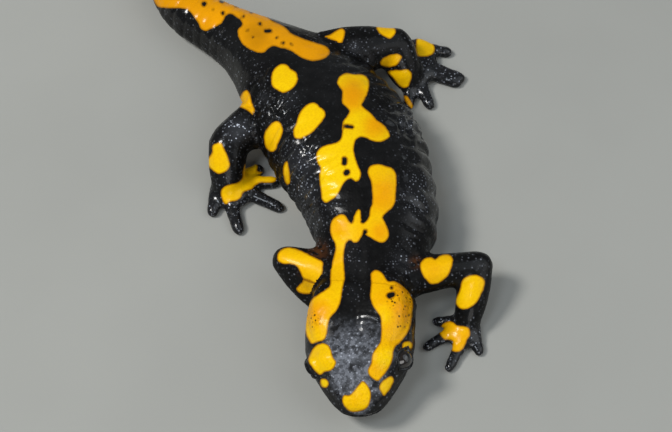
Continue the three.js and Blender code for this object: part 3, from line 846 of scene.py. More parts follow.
def spine_and_glands(surface):
    """A shallow furrow down the spine, a row of small glands on each side of it and one above each rib."""
    body = surface.on(BODY_NODES)
    reach = smooth_step(25, 33, surface.at) * (1 - smooth_step(96, 108, surface.at)) * body
    height = -0.05 * reach * bell(surface.turn - 90, 6) * smooth_step(38, 46, surface.at)
    round_way = np.hypot(surface.side, surface.rise)
    for turns, pitch, radius, rise in GLAND_ROWS:
        for k, turn in enumerate(turns):
            for at in np.arange(30 + 0.4 * k, 104, pitch):
                jitter = noise.noise(Vector((at * 3.1, turn, 0.5)))
                other = noise.noise(Vector((at * 2.3, turn, 7.5)))
                across = round_way * np.radians(surface.turn - turn - 5 * other)
                away = np.hypot(surface.at - at - 0.8 * jitter, across)
                height += rise * (1 + 0.6 * jitter) * dome(away, radius) * reach
    return height


def neck_folds(surface):
    """The fold of the throat, which climbs the sides of the neck, and the wrinkles of the nape."""
    low = 1 - smooth_step(10, 40, surface.above)
    body = surface.on(["head", "lower_jaw", "neck", "trunk_front"])
    throat = surface.at - (THROAT_FOLD + 1.2 * smooth_step(-20, 30, surface.above))
    height = low * (-0.55 * bell(throat, 0.45) + 0.25 * bell(throat + 1.1, 0.7))
    side = 1 - smooth_step(35, 60, surface.above)
    for at, depth in NAPE_WRINKLES:
        wander = 0.9 * noise_at(surface.places, 5.0, at)
        height -= depth * bell(surface.at + wander - at, 0.5) * side
    return height * body


def vent(surface):
    """The slit under the root of the tail, between its low lips."""
    below = smooth_step(-60, -80, surface.turn) * surface.on(["pelvis", "tail_root"])
    along = dome(surface.at - VENT["at"], VENT["long"])
    lips = bell(np.abs(surface.side) - 0.9, 0.6)
    return below * along * (0.3 * lips - 0.5 * bell(surface.side, 0.3))


def glands(surface):
    """The long glands behind the eyes: low cushions with a soft furrow round their feet."""
    height = np.zeros(len(surface.places))
    round_way = np.hypot(surface.head_side, surface.head_rise)
    along = (surface.at - LONG_GLAND["at"]) / LONG_GLAND["half_length"]
    for turn in LONG_GLAND["turns"]:
        across = np.radians(surface.turn - turn) * round_way / LONG_GLAND["half_width"]
        far = np.hypot(along, across)
        height += LONG_GLAND["height"] * dome(far, 1.0) - 0.16 * bell((far - 1.08) * 4.5, 0.7)
        height += 0.08 * dome(far, 1.0) * noise_at(surface.places, 1.1, 12)
    return height * surface.on(["head", "lower_jaw", "neck"])


def skull(surface):
    """The edges of the muzzle, the furrow behind each eye and the pits of the nostrils."""
    top = smooth_step(30, 70, surface.above)
    height = 0.16 * bell(np.abs(surface.head_side) - 3.6, 0.9) * bell(surface.at - 4.6, 2.6) * top
    for side, sign in SIDES.items():
        middle, radius, _ = eye_facts(side)
        away = lengths(surface.places - middle)
        behind = smooth_step(1.0, 3.0, surface.at - midline.measure(middle[None])[0])
        above_side = surface.turn if sign > 0 else 180 - surface.turn
        height -= 0.3 * bell(away - radius - 1.7, 0.42) * behind * smooth_step(15, 45, above_side)
        away = lengths(surface.places - nostril_place(sign))
        height += 0.06 * bell(away - 0.6, 0.3) - 0.8 * bell(away, 0.26)
    return height * surface.on(["head"])


def mouth(surface):
    """The closed mouth: a fine crease under a slightly overhanging lip."""
    away = surface.head_level - mouth_level(surface.at)
    reach = 1 - smooth_step(MOUTH_BACK - 1.6, MOUTH_BACK + 0.6, surface.at)
    crease = -0.42 * bell(away, 0.17)
    lips = 0.16 * bell(away - 0.6, 0.45) + 0.08 * bell(away + 0.5, 0.35)
    return reach * (crease + lips) * surface.on(["head", "lower_jaw"])


KNUCKLES = [(0.22, -0.06), (0.4, 0.05), (0.58, -0.07), (0.76, 0.06)]  # place along a toe and height in mm


def limb_joints(limb):
    """A limb's shoulder or hip, its elbow or knee, and its wrist or ankle."""
    return [np.array(joint) + (*PLAN_SHIFT, 0) for joint in LIMBS[limb]["joints"]]


def limb_creases(surface):
    """Folds across the elbows, knees, wrists and ankles."""
    height = np.zeros(len(surface.places))
    for limb, nodes in LIMB_NODES.items():
        here = surface.on(nodes)
        root, bend, end = limb_joints(limb)
        pad = np.array(LIMBS[limb]["pad"]) + (*PLAN_SHIFT, 0)
        for joint, before, after, depth in ((bend, root, end, 0.3), (end, bend, pad, 0.16)):
            inward = unit(before - joint) + unit(after - joint)
            across = unit(after - before)
            away = surface.places - joint
            near = dome(lengths(away), 5.5)
            inner = smooth_step(-1.5, 1.5, away @ inward)
            for offset in (-1.1, 0.0, 1.1):
                strength = depth if offset == 0 else depth * 0.45
                height -= strength * near * inner * bell(away @ across - offset, 0.32) * here
    return height


def knuckles(surface):
    """Knuckles along the fingers and toes."""
    height = np.zeros(len(surface.places))
    shift = (*PLAN_SHIFT, 0)
    for limb, nodes in LIMB_NODES.items():
        digits = surface.on(nodes[2:])
        for toe_root, toe_tip in LIMBS[limb]["toes"]:
            start = np.array([*toe_root, 1.3]) + shift
            ray = np.array([*toe_tip, 0.9]) + shift - start
            t = (surface.places - start) @ ray / (ray @ ray)
            close = digits * dome(lengths(surface.places - start - t[:, None] * ray), 2.4)
            for share, rise in KNUCKLES:
                height += rise * close * bell(t - share, 0.08)
    return height


def sheltered(surface):
    """1 in the creases between the body and the limbs."""
    body = surface.on(BODY_NODES)
    share = np.zeros(len(surface.places))
    for limb, nodes in LIMB_NODES.items():
        root, bend, end = limb_joints(limb)
        away = distance_to_line(surface.places, root, bend)
        away = np.minimum(away, distance_to_line(surface.places, bend, end))
        inner = dome(lengths(surface.places - root), 13) * surface.on(nodes)
        share = np.maximum(share, np.maximum(dome(away, 13) * body, inner))
    return np.minimum(2 * share, 1)


def skin_relief(surface, granule):
    """Uneven skin: undulations, milder on the head and digits, low granules, and the trunk sunk by
    SKIN_DEPTH.
    """
    trunk = surface.on(["trunk_front", "trunk_rear", "pelvis", "neck", "tail_root"])
    head = surface.on(["head", "lower_jaw"])
    digits = surface.on(DIGITS)
    broad = noise_at(surface.places, 3.4, 5)
    middle = noise_at(surface.places, 1.5, 6)
    small = noise_at(surface.places, 0.8, 7)
    height = 0.05 * broad * trunk + 0.02 * middle
    uneven = height * (1 - 0.7 * digits) * (1 - 0.5 * head) + granule * small
    return uneven - SKIN_DEPTH * trunk


def eyelids(surface, side):
    """Opens the skin over an eyeball and raises the lids round the opening."""
    middle, radius, gaze = eye_facts(side)
    gaze, up, forward = (np.array(axis) for axis in (gaze, head_axes.up, head_axes.ahead))
    up = unit(up - gaze * (up @ gaze))
    forward = unit(forward - gaze * (forward @ gaze))
    away = surface.places - middle
    distance = lengths(away)
    near = np.flatnonzero(distance < EYE_REACH)
    direction = away[near] / distance[near, None]
    ahead = direction @ gaze
    across = np.degrees(np.arctan2(direction @ forward, ahead))
    lift = np.degrees(np.arctan2(direction @ up, ahead))
    half_height = np.where(lift > 0, LIDS[side]["upper"], LID["lower"])
    opening = np.hypot(across / LID["wide"], lift / half_height)
    beyond = np.hypot(across, lift) * (1 - 1 / np.maximum(opening, 0.01))
    beyond = np.where(ahead < 0.05, FAR, beyond)
    rim = radius + LID["stand"] + LID["thick"] * bell(beyond - 8, 8) * np.where(lift > 0, 1.25, 0.8)
    natural = distance[near]
    outside = 0.5 * (natural + rim + np.sqrt((natural - rim) ** 2 + 0.25**2))
    outside = natural + (outside - natural) * np.where(beyond < 45, 1, dome(beyond - 45, 55))
    hidden = radius - 0.5
    target = hidden + (outside - hidden) * smooth_step(-3.5, 2.5, beyond)
    fade = 1 - smooth_step(EYE_REACH - 1.2, EYE_REACH, natural)
    new = natural + (target - natural) * fade
    new = np.where(beyond > 2.5, np.maximum(new, radius + LID["stand"] / 2), new)
    surface.places[near] = middle + direction * new[:, None]
    surface.past_lid[near] = np.minimum(surface.past_lid[near], beyond)
    surface.write()


# ---------------------------------------------------------------- blotches on the skin
class Picture:
    """The camera's picture of the skin: where each vertex shows in it, and whether it shows."""

    def __init__(self, surface):
        angle = CAMERA_ELEVATION
        self.view = np.array([0, math.cos(angle), -math.sin(angle)])
        self.up = np.array([0, math.sin(angle), math.cos(angle)])
        self.eye = np.array(CAMERA_AIM) / MM - self.view * CAMERA_DISTANCE / MM
        away = surface.places - self.eye
        depth = away @ self.view
        focal = LENS / SENSOR_WIDTH * PICTURE[0]
        x = PICTURE[0] / 2 + focal * away[:, 0] / depth
        y = PICTURE[1] / 2 - focal * (away @ self.up) / depth
        self.points = np.stack([x, y], 1)
        frame_corners = np.array([(0, 0), PICTURE])
        self.shown = self.find_shown(surface, away) & in_frame(self.points, frame_corners, PICTURE_EDGE)

    def find_shown(self, surface, away):
        towards = -away / lengths(away)[:, None]
        facing = (towards * surface.normals).sum(1) > 0.04
        polygons = [tuple(p.vertices) for p in surface.mesh.polygons]
        tree = BVHTree.FromPolygons([Vector(p) for p in surface.places], polygons)
        shown = np.zeros(len(surface.places), bool)
        for i in np.flatnonzero(facing):
            start = surface.places[i] + surface.normals[i] * 0.25
            shown[i] = tree.ray_cast(Vector(start), Vector(towards[i]))[0] is None
        return shown


BLACK = -4.0  # as far outside a blotch as the skin keeps count of, in millimetres


def blotch_field(surface, picture):
    """How far inside a blotch each vertex is, in millimetres, and how orange the blotch is."""
    field = np.full(len(surface.places), BLACK)
    tone = np.full(len(surface.places), 0.4)
    groups = [(BODY_NODES, BODY_BLOTCHES)]
    groups += [(LIMB_NODES[limb], blotches) for limb, blotches in LIMB_BLOTCHES.items()]
    for nodes, blotches in groups:
        here = np.flatnonzero((surface.on(nodes) > 0) & picture.shown)
        for orange, outline in blotches.values():
            curve = smooth_curve(outline, closed=True, steps=5)
            chosen = here[in_frame(picture.points[here], curve, -BLACK * PICTURE_SCALE)]
            inside = inside_distance(picture.points[chosen], curve) / PICTURE_SCALE
            better = inside > field[chosen]
            field[chosen[better]] = inside[better]
            tone[chosen[better]] = orange
    for (x, y), reach, orange in TONE_SPOTS:
        share = dome(np.hypot(*(picture.points - (x, y)).T), reach) * picture.shown
        tone += (orange - tone) * share
    away = np.zeros(len(surface.places))
    for nodes, _ in groups:
        wrap_over(surface, picture, surface.on(nodes) > 0, field, tone, away)
    field = np.where(picture.shown, field, surface.blur(field, 6))
    uneven = 0.16 * noise_at(surface.places, 0.9, 21)
    for *ends, half in DARK_DOTS:
        clear = (distance_to_line(picture.points, ends[0], ends[-1]) - half) / PICTURE_SCALE + uneven
        field = np.where(picture.shown & (clear < field), clear, field)
    return field, tone, away


def picture_spots(surface, picture, spots):
    """A weight that is 1 in the middle of each spot of the picture and 0 outside them all."""
    weight = np.zeros(len(surface.places))
    for (x, y), reach in spots:
        weight = np.maximum(weight, dome(np.hypot(*(picture.points - (x, y)).T), reach))
    return surface.blur(weight * picture.shown, 3)


def wrap_over(surface, picture, here, field, tone, away):
    """Carries the blotches of the side that shows a little way round to the side that doesn't, and notes how
    far away the side that shows is."""
    shown = np.flatnonzero(here & picture.shown)
    hidden = np.flatnonzero(here & ~picture.shown)
    tree = KDTree(len(shown))
    for k, i in enumerate(shown):
        tree.insert(surface.places[i], k)
    tree.balance()
    for i in hidden:
        _, k, away[i] = tree.find(surface.places[i])
        near = shown[k]
        inside = field[near]
        if inside > 0.15:
            inside += min(0.9, (inside - 0.15) * 3)
        field[i] = max(BLACK, inside - away[i])
        tone[i] = tone[near]


# Spots on the sides that the camera doesn't see: distance from the snout tip, how far round from the left
# side in degrees, half length and half width.
HIDDEN_SPOTS = [
    (8, -60, 1.6, 1.2), (14, -125, 2.4, 1.7), (20, -80, 2.0, 1.4), (31, -18, 2.6, 1.6),
    (30, -162, 2.8, 1.8), (41, -10, 2.4, 1.7), (52, -22, 3.0, 1.8), (63, -12, 2.2, 1.6),
    (74, -20, 3.0, 1.7), (46, -168, 2.8, 1.9), (58, -158, 2.2, 1.7), (68, -170, 3.2, 1.9),
    (79, -160, 2.2, 1.6), (90, 8, 2.6, 2.0), (45, -112, 1.5, 1.2), (57, -70, 1.8, 1.2),
    (70, -100, 1.4, 1.1), (101, 40, 3.8, 1.7), (112, -20, 2.6, 1.5), (109, 200, 3.2, 1.6),
    (124, 14, 3.6, 1.6), (127, 170, 3.0, 1.5), (139, 168, 3.2, 1.3), (142, 2, 2.6, 1.2),
    (152, 180, 2.2, 1.0), (158, 10, 2.6, 0.9),
]
# The stripe on top of the tail, past the edge of the picture: where it begins and ends, and half its width.
TAIL_STRIPE = [(140, 151, 2.0), (154.5, 163, 1.5), (167, 173.5, 1.0)]
SPOT_TONE = 0.55  # how orange the spots are, and the stripe
STRIPE_TONE = 0.85
SPOT_GAP = 1.6  # the least black, in mm, between the blotches that show and these


def hidden_spots(surface, field, tone, away_from_shown):
    """Adds the spots of the flanks, the belly and the tail that the camera doesn't see."""
    body = surface.on(BODY_NODES) > 0
    room = (away_from_shown - SPOT_GAP) * 1.5
    away_round = np.hypot(surface.head_side, surface.head_rise)
    for at, turn, long, wide in HIDDEN_SPOTS:
        away = np.radians(surface.turn - turn)
        across = np.arctan2(np.sin(away), np.cos(away)) * away_round
        far = np.hypot((surface.at - at) / long, across / wide)
        inside = np.minimum((1 - far) * min(long, wide), room)
        better = body & (inside > field) & (inside > -1.5)
        field[better] = inside[better]
        tone[better] = SPOT_TONE
    across = np.radians(surface.turn - 90) * away_round
    for start, end, half in TAIL_STRIPE:
        past = np.maximum(np.abs(surface.at - (start + end) / 2) - (end - start) / 2 + half, 0)
        inside = np.minimum(half - np.hypot(past, across), room)
        better = body & (surface.at > 101) & (inside > field)
        field[better] = inside[better]
        tone[better] = STRIPE_TONE


def paint_blotches(surface, picture):
    """Paints how far inside a blotch the skin is, how orange the blotch is, and how pale the belly is."""
    field, tone, away_from_shown = blotch_field(surface, picture)
    hidden_spots(surface, field, tone, away_from_shown)
    field = np.minimum(field, (surface.past_lid - LID["rim"]) / LID["rim"])
    surface.paint("blotch", field)
    surface.paint("tone", surface.blur(tone, 2))
    surface.paint("pale", smooth_step(-0.25, -0.95, surface.normals[:, 2]) * surface.on(BODY_NODES))


def paint_gloss(surface, picture):
    """Paints where the wet coat is thin: low down and in creases, and on the matt nape and limbs."""
    dull = np.maximum(smooth_step(0.6, 0.0, surface.normals[:, 2]), sheltered(surface))
    dull = np.maximum(dull, np.minimum(2 * picture_spots(surface, picture, SHADED), 1))
    surface.paint("dull", surface.blur(dull, 4))
    top = smooth_step(35, 55, surface.above) * surface.on(BODY_NODES)
    matt = (1 - smooth_step(42, 52, surface.at)) * top + MATT_LIMBS * surface.on(UPPER_LIMBS)
    matt *= 1 - picture_spots(surface, picture, GLOSSY)
    surface.paint("matt", surface.blur(matt, 6))


def paint_granules(surface, picture):
    """Paints where the skin is beaded, has dark pores and is rusty, and the painted bluish sheen and
    sparkles.
    """
    beaded = flank_share(surface) * surface.on(BODY_NODES) + surface.on(UPPER_LIMBS + DIGITS)
    surface.paint("beaded", surface.blur(beaded, 6))
    surface.paint("pores", np.minimum(2.5 * picture_spots(surface, picture, PORES), 1))
    surface.paint("rust", picture_spots(surface, picture, RUST))
    # the crown: its granules, and its painted bluish sheen
    crown = (1 - smooth_step(11, 18, surface.at)) * smooth_step(20, 50, surface.above) * surface.on(["head"])
    crown *= 1 - picture_spots(surface, picture, SMOOTH_CROWN)
    surface.paint("crown", surface.blur(crown, 6))
    # painted grey-blue sheen on the fingers and toes, and painted sparkles where SHEEN says
    sheen = [0.45 * surface.on(DIGITS)]
    for place, reach, strength in SHEEN:
        sheen.append(strength * picture_spots(surface, picture, [(place, reach)]))
    surface.paint("sheen", surface.blur(np.max(sheen, axis=0), 3))


# ---------------------------------------------------------------- shader sockets
class Wire:
    """A shader socket that takes part in Python expressions; each operator adds its Math node."""

    def __init__(self, tree, socket=None):
        self.tree = tree
        self.socket = socket

    def node(self, kind, settings=None, sockets=None, output=0):
        """Adds a node: its type, settings, the values or links of its inputs, and which output to use."""
        node = self.tree.nodes.new(kind)
        for name, value in (settings or {}).items():
            setattr(node, name, value)
        for name, value in (sockets or {}).items():
            if isinstance(value, Wire):
                self.tree.links.new(value.socket, node.inputs[name])
            else:
                node.inputs[name].default_value = value
        return Wire(self.tree, node.outputs[output])

    def math(self, operation, *values):
        return self.node("ShaderNodeMath", {"operation": operation}, dict(enumerate(values)))

    def __add__(self, other):
        return self.math("ADD", self, other)

    def __radd__(self, other):
        return self.math("ADD", other, self)

    def __sub__(self, other):
        return self.math("SUBTRACT", self, other)

    def __rsub__(self, other):
        return self.math("SUBTRACT", other, self)

    def __mul__(self, other):
        return self.math("MULTIPLY", self, other)

    def __rmul__(self, other):
        return self.math("MULTIPLY", other, self)

    def between(self, low, high, to_low=0.0, to_high=1.0):
        """Eases from one value to another as this one goes from low to high."""
        sockets = {"Value": self, "From Min": low, "From Max": high, "To Min": to_low, "To Max": to_high}
        return self.node("ShaderNodeMapRange", {"interpolation_type": "SMOOTHSTEP"}, sockets)

    def mix(self, first, second):
        """A colour that goes from the first to the second as this value goes from 0 to 1."""
        sockets = {0: self, 6: first, 7: second}
        return self.node("ShaderNodeMix", {"data_type": "RGBA"}, sockets, output=2)


def new_material(name):
    material = bpy.data.materials.new(name)
    material.use_nodes = True
    return material, material.node_tree.nodes["Principled BSDF"], Wire(material.node_tree)


def feed(shader, **sockets):
    """Sets or links the shader's sockets, named with underscores for spaces."""
    for name, value in sockets.items():
        socket = shader.inputs[name.replace("_", " ").title().replace("Ior", "IOR")]
        if isinstance(value, Wire):
            value.tree.links.new(value.socket, socket)
        else:
            socket.default_value = value


def opaque(colour, share=1.0):
    return (*(c * share for c in colour), 1.0)


def attribute(wire, name):
    return wire.node("ShaderNodeAttribute", {"attribute_name": name}, output="Fac")


def object_place(wire):
    return wire.node("ShaderNodeTexCoord", output="Object")


def soft_noise(place, period, detail=2.0):
    """Noise from 0 to 1 with bumps about one period, in millimetres, apart."""
    sockets = {"Vector": place, "Scale": 1 / (period * MM), "Detail": detail}
    return place.node("ShaderNodeTexNoise", None, sockets)


def patches(place, period, low, high, detail=2.0):
    """1 where the noise is above high, 0 where it is below low."""
    return soft_noise(place, period, detail).between(low, high)


def cells(place, period, feature="SMOOTH_F1"):
    """Distance to the middle of the nearest of many cells, about one period apart."""
    sockets = {"Vector": place, "Scale": 1 / (period * MM)}
    if feature == "SMOOTH_F1":
        sockets["Smoothness"] = 0.6
    return place.node("ShaderNodeTexVoronoi", {"feature": feature}, sockets)


def dots(place, period, core, edge):
    """Many dots about one period apart, 1 in the middle and fading out from the core to the edge."""
    return cells(place, period, "F1").between(core, edge, 1.0, 0.0)


def skin_material(look):
    """Black granular skin with yellow blotches, wet all over."""
    material, shader, wire = new_material("blotched wet skin")
    place = object_place(wire)
    wobble = 0.26 * soft_noise(place, 0.9, 3.0) - 0.13
    inside = attribute(wire, "blotch") + wobble
    yellow = inside.between(-0.09, 0.09)
    rim = inside.between(0.0, 0.45)
    names = ("tone", "pale", "beaded", "pores", "rust", "crown", "sheen", "matt", "dull")
    tone, pale, beaded, pores, rust, crown, sheen, matt, dull = (attribute(wire, name) for name in names)

    # yellow: lemon to amber to brown, darker at the rim, mottled, with dark pores on the glands
    cloudy = tone + 0.36 * soft_noise(place, 3.0) - 0.18
    ground = cloudy.between(0.0, 1.0).mix(opaque(look.lemon), opaque(look.amber))
    ground = cloudy.between(1.0, 2.0).mix(ground, opaque(look.amber, 0.6))
    mottle = patches(place, 0.45, 0.35, 0.7, 3.0)
    ground = (0.2 * mottle).mix(ground, opaque(look.amber, 0.7))
    holes = dots(place, 0.9, 0.16, 0.32) * pores
    freckles = patches(place, 0.6, 0.5, 0.66) * pores
    ground = (0.45 * freckles).mix(ground, opaque(look.amber, 0.55))
    ground = (0.9 * holes).mix(ground, opaque(look.amber, 0.06))
    blotch = rim.mix(opaque(look.amber, 0.4), ground)

    # granules: beads on the black skin of flanks and limbs, finer ones everywhere, finest on the crown
    dark = 1 - yellow
    patchy = patches(place, 4.0, 0.35, 0.6)
    beads = dots(place, 1.7, 0.04, 0.22) * patchy
    small_beads = dots(place, 0.95, 0.05, 0.3)
    frost = patches(place, 0.9, 0.44, 0.62, 5.0)
    grains = dots(place, 0.5, 0.08, 0.34)
    beaded = dark * (0.1 + 0.9 * beaded)
    height = (0.14 * beads + 0.11 * small_beads) * beaded + (0.05 * frost + 0.06 * grains) * crown
    height = height - 0.05 * cells(place, 0.55) * (0.3 + 0.25 * dark + 0.45 * beaded) - 0.05 * holes
    height = height + 0.012 * soft_noise(place, 0.25, 3.0) + 0.02 * soft_noise(place, 1.4, 2.0)
    height = height + 0.05 * beaded * soft_noise(place, 0.6, 3.0)

    # black: uneven, painted glints on granules, painted bluish sheen and sparkles, rusty armpits, greyer
    # belly
    tint = patches(place, 2.2, 0.35, 0.75, 3.0)
    black = tint.mix(opaque(look.black), opaque(look.black, 2.0))
    # painted glints: pale dots on the granules of the black skin, standing in for highlights
    painted_glints = dots(place, 0.9, 0.13, 0.3)
    painted_glints = painted_glints * patches(place, 1.1, 0.4, 0.56)
    painted_glints = painted_glints * patches(place, 0.4, 0.3, 0.6)
    # painted highlights: paler tops of the small beads, then the painted glints
    black = (0.3 * small_beads * beaded).mix(black, opaque(look.painted_highlight, 0.5))
    black = (0.85 * painted_glints * beaded).mix(black, opaque(look.painted_highlight))
    cloud = patches(place, 3.0, 0.3, 0.65)
    sparks = dots(place, 0.66, 0.14, 0.34)
    sparks = sparks * patches(place, 0.9, 0.44, 0.58, 3.0)
    # painted bluish sheen on the crown
    black = (crown * (0.35 * cloud + 0.4 * frost + 0.45 * grains)).mix(black, opaque(look.painted_highlight, 1.4))
    # painted sheen, and painted sparkles on the crown and where the granules would catch the light
    black = (sheen * (0.12 + 0.25 * frost * grains)).mix(black, opaque(look.painted_highlight, 0.6))
    black = ((0.6 * crown + sheen) * sparks).mix(black, opaque(look.painted_highlight, 3.2))
    rusty = rust * patches(place, 1.2, 0.35, 0.6, 3.0)
    black = (0.7 * rusty).mix(black, opaque((0.10, 0.035, 0.01)))
    black = pale.mix(black, opaque((0.04, 0.036, 0.033)))
    bump = wire.node("ShaderNodeBump", None, {"Strength": look.grain, "Distance": MM, "Height": height})
    roughness = 0.18 + 0.14 * soft_noise(place, 1.8, 3.0) + 0.05 * yellow + 0.2 * matt * dark + 0.12 * dull
    feed(
        shader,
        base_color=yellow.mix(black, blotch),
        roughness=roughness,
        coat_weight=look.wetness * (0.3 + 0.7 * dark) * (1 - 0.85 * dull) * (1 - 0.9 * matt),
        coat_roughness=0.13,
        specular_ior_level=0.06,
        normal=bump,
    )
    return material


# Degrees from the middle of the gaze.
PUPIL_EDGE = (23, 26)
IRIS_EDGE = (46, 56)


def eye_material(look):
    """A dark brown iris round a black pupil, under a wet clear surface."""
    material, shader, wire = new_material("wet dark eye")
    place = object_place(wire)
    angle = attribute(wire, "angle")
    streaks = soft_noise(place, 0.16, 3.0)
    iris = streaks.between(0.35, 0.7).mix(opaque(look.iris, 0.5), opaque(look.iris, 1.8))
    ring = (angle + 3 * streaks).between(*IRIS_EDGE)
    pupil = (angle + 1.5 * streaks).between(*PUPIL_EDGE)
    colour = ring.mix(iris, opaque((0.004, 0.003, 0.003)))
    colour = pupil.mix(opaque((0.0015, 0.0015, 0.0015)), colour)
    feed(shader, base_color=colour, roughness=0.12, coat_weight=1.0, coat_roughness=0.03)
    return material


def floor_material(colour):
    material, shader, wire = new_material("pale floor")
    place = object_place(wire)
    shade = patches(place, 60.0, 0.3, 0.7, 3.0)
    feed(shader, base_color=shade.mix(opaque(colour, 0.97), opaque(colour, 1.03)), roughness=0.85)
    return material


# ---------------------------------------------------------------- settings
# The studio's lamps: place and diameter in metres, share of the light and colour.
DAYLIGHT = (1.0, 0.99, 0.97)
SKYLIGHT = (0.82, 0.91, 1.0)
LAMPS = {
    "window": ((-0.50, -0.10, 0.76), 0.24, 1.0, DAYLIGHT),
    "overhead": ((-0.27, -0.37, 0.86), 0.26, 0.30, SKYLIGHT),
    "fill": ((0.58, -0.06, 0.74), 1.0, 0.32, SKYLIGHT),
    "front": ((0.15, -0.85, 0.50), 0.50, 0.30, DAYLIGHT),
    "side": ((0.70, -0.20, 0.42), 0.8, 0.17, DAYLIGHT),
}


def amount(name, description, default, **limits):
    return FloatProperty(name=name, description=description, default=default, **limits)


def colour(name, description, default):
    return FloatVectorProperty(name=name, description=description, default=default, subtype="COLOR")


class SkinSettings(bpy.types.PropertyGroup):
    voxel: amount("Voxel", "Size of the mesh's squares, in mm", 0.52, min=0.3)
    rounds: IntProperty(name="Rounds", description="How long the facets are smoothed", default=46, min=0)
    groove: amount("Grooves", "Depth of the furrows between the ribs, in mm", 0.43)
    ring: amount("Tail rings", "Depth of the rings of the tail, in mm", 0.2)
    granule: amount("Granules", "Height of the skin's granules, in mm", 0.03)
    grain: amount("Grain", "Strength of the fine grain", 1.0, subtype="FACTOR")
    wetness: amount("Wetness", "Weight of the wet coat", 0.68, subtype="FACTOR")
    black: colour("Black", "Ground colour", (0.0035, 0.0034, 0.0034))
    # the colour of the painted highlights: glints, sparkles and the crown's bluish sheen
    painted_highlight: colour("Painted highlights", "Tops of the granules", (0.165, 0.175, 0.20))
    lemon: colour("Lemon", "Lightest blotches", (0.92, 0.60, 0.002))
    amber: colour("Amber", "Deepest blotches", (0.84, 0.34, 0.001))


class EyeSettings(bpy.types.PropertyGroup):
    iris: colour("Iris", "Colour of the iris", (0.010, 0.006, 0.004))
    cornea: amount("Cornea", "How far the cornea stands out, in mm", 0.14)


class StudioSettings(bpy.types.PropertyGroup):
    floor: colour("Floor", "Colour of the floor", (0.34, 0.34, 0.315))
    light: amount("Light", "Power of the large soft light", 5.6, unit="POWER")
    sky: amount("Sky", "Strength of the even light from all round", 0.15)


class SALAMANDER_OT_skin(bpy.types.Operator):
    """One skin in place of all nodes of flesh, with its folds, lids and blotches"""

    bl_idname = "salamander.skin"
    bl_label = "Skin"

    def execute(self, context):
        look = context.scene.salamander_skin
        parts = Parts(FLESH)
        skin = weld(FLESH + list(EYE_NODES.values()), look.voxel)
        soften(skin, parts, look.rounds)
        refine(skin, parts)
        surface = Surface(skin, parts)
        surface.push(limb_growth(surface))
        surface.push(costal_grooves(surface, look.groove) + tail_rings(surface, look.ring))
        surface.push(neck_folds(surface) + glands(surface) + spine_and_glands(surface))
        creases = limb_creases(surface) + knuckles(surface) + vent(surface)
        surface.push(skull(surface) + mouth(surface) + creases)
        surface.push(single_folds(surface, Picture(surface)))
        surface.push(skin_relief(surface, look.granule))
        for side in EYE_NODES:
            eyelids(surface, side)
        picture = Picture(surface)
        paint_blotches(surface, picture)
        paint_gloss(surface, picture)
        paint_granules(surface, picture)
        skin.name = skin.data.name = "skin"
        skin.data.materials.clear()
        skin.data.materials.append(skin_material(look))
        select_only(skin)
        bpy.ops.object.shade_smooth()
        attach(skin, "root")
        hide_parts(*FLESH)
        return {"FINISHED"}


class SALAMANDER_OT_eyes(bpy.types.Operator):
    """An eyeball with a cornea, iris and pupil in place of each eye node"""

    bl_idname = "salamander.eyes"
    bl_label = "Eyes"

    def execute(self, context):
        look = context.scene.salamander_eyes
        material = eye_material(look)
        for side, node in EYE_NODES.items():
            middle, radius, gaze = eye_facts(side)
            select_only()
            bpy.ops.mesh.primitive_uv_sphere_add(segments=48, ring_count=32, radius=radius * MM)
            eye = bpy.context.view_layer.objects.active
            eye.name = eye.data.name = f"eyeball_{side}"
            places = read(eye.data.vertices, "co", 3) / MM
            angle = np.degrees(np.arccos(np.clip(places[:, 2] / radius, -1, 1)))
            places *= (1 + look.cornea / radius * (1 - smooth_step(20, 50, angle)))[:, None]
            turn = np.array(gaze.to_track_quat("Z", "Y").to_matrix())
            places = places @ turn.T + middle
            eye.data.vertices.foreach_set("co", (places * MM).ravel())
            paint_vertices(eye.data, "angle", angle)
            eye.data.update()
            eye.data.materials.append(material)
            select_only(eye)
            bpy.ops.object.shade_smooth()
            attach(eye, "root")
            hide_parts(node)
        return {"FINISHED"}


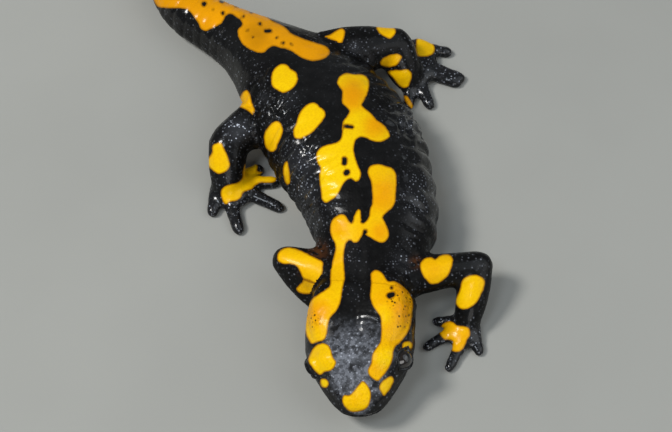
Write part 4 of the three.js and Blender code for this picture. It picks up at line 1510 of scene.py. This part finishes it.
class SALAMANDER_OT_studio(bpy.types.Operator):
    """The camera, a pale floor and soft light"""

    bl_idname = "salamander.studio"
    bl_label = "Studio"

    def execute(self, context):
        look = context.scene.salamander_studio
        self.camera(context)
        self.floor(look)
        self.lights(context, look)
        context.scene.view_settings.view_transform = "Standard"
        return {"FINISHED"}

    @staticmethod
    def camera(context):
        back = Vector((0, -math.cos(CAMERA_ELEVATION), math.sin(CAMERA_ELEVATION)))
        bpy.ops.object.camera_add(
            location=CAMERA_AIM + back * CAMERA_DISTANCE,
            rotation=(math.pi / 2 - CAMERA_ELEVATION, 0, 0),
        )
        camera = context.object
        camera.data.lens = LENS
        camera.data.sensor_width = SENSOR_WIDTH
        camera.data.clip_start = 0.01
        context.scene.camera = camera

    @staticmethod
    def floor(look):
        bpy.ops.mesh.primitive_plane_add(size=6)
        floor = bpy.context.view_layer.objects.active
        floor.name = "floor"
        floor.data.materials.append(floor_material(look.floor))
        floor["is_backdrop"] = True

    @staticmethod
    def lights(context, look):
        middle = Vector((0, 0, 0.01))
        for name, (place, size, share, colour) in LAMPS.items():
            bpy.ops.object.light_add(type="AREA", location=place)
            lamp = context.object
            lamp.name = name
            lamp.data.shape = "DISK"
            lamp.data.size = size
            lamp.data.energy = look.light * share
            lamp.data.color = colour
            lamp.rotation_euler = (middle - Vector(place)).to_track_quat("-Z", "Y").to_euler()
        world = bpy.data.worlds.new("studio")
        world.use_nodes = True
        background = world.node_tree.nodes["Background"].inputs
        background["Color"].default_value = (0.86, 0.93, 1.0, 1)
        background["Strength"].default_value = look.sky
        context.scene.world = world


class SALAMANDER_PT_panel(bpy.types.Panel):
    """The salamander's settings and the steps that make it"""

    bl_idname = "SALAMANDER_PT_panel"
    bl_label = "Fire Salamander"
    bl_space_type = "VIEW_3D"
    bl_region_type = "UI"
    bl_category = "Salamander"

    def draw(self, context):
        for operator, settings in STEPS:
            box = self.layout.box()
            box.operator(operator.bl_idname)
            group = getattr(context.scene, settings)
            for name in group.__annotations__:
                box.prop(group, name)


STEPS = [
    (SALAMANDER_OT_studio, "salamander_studio"),
    (SALAMANDER_OT_skin, "salamander_skin"),
    (SALAMANDER_OT_eyes, "salamander_eyes"),
]
SETTINGS = {
    "salamander_skin": SkinSettings,
    "salamander_eyes": EyeSettings,
    "salamander_studio": StudioSettings,
}


def register():
    for name, group in SETTINGS.items():
        bpy.utils.register_class(group)
        setattr(bpy.types.Scene, name, PointerProperty(type=group))
    for operator, _ in STEPS:
        bpy.utils.register_class(operator)
    bpy.utils.register_class(SALAMANDER_PT_panel)


def unregister():
    bpy.utils.unregister_class(SALAMANDER_PT_panel)
    for operator, _ in reversed(STEPS):
        bpy.utils.unregister_class(operator)
    for name, group in SETTINGS.items():
        delattr(bpy.types.Scene, name)
        bpy.utils.unregister_class(group)


def main():
    register()
    bpy.ops.salamander.studio()
    bpy.ops.salamander.skin()
    bpy.ops.salamander.eyes()
    boxes = {"cad": CAD_BOX, "visual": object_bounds()}
    {name: [list(corner) for corner in box] for name, box in boxes.items()}


if __name__ == "__main__":
    main()
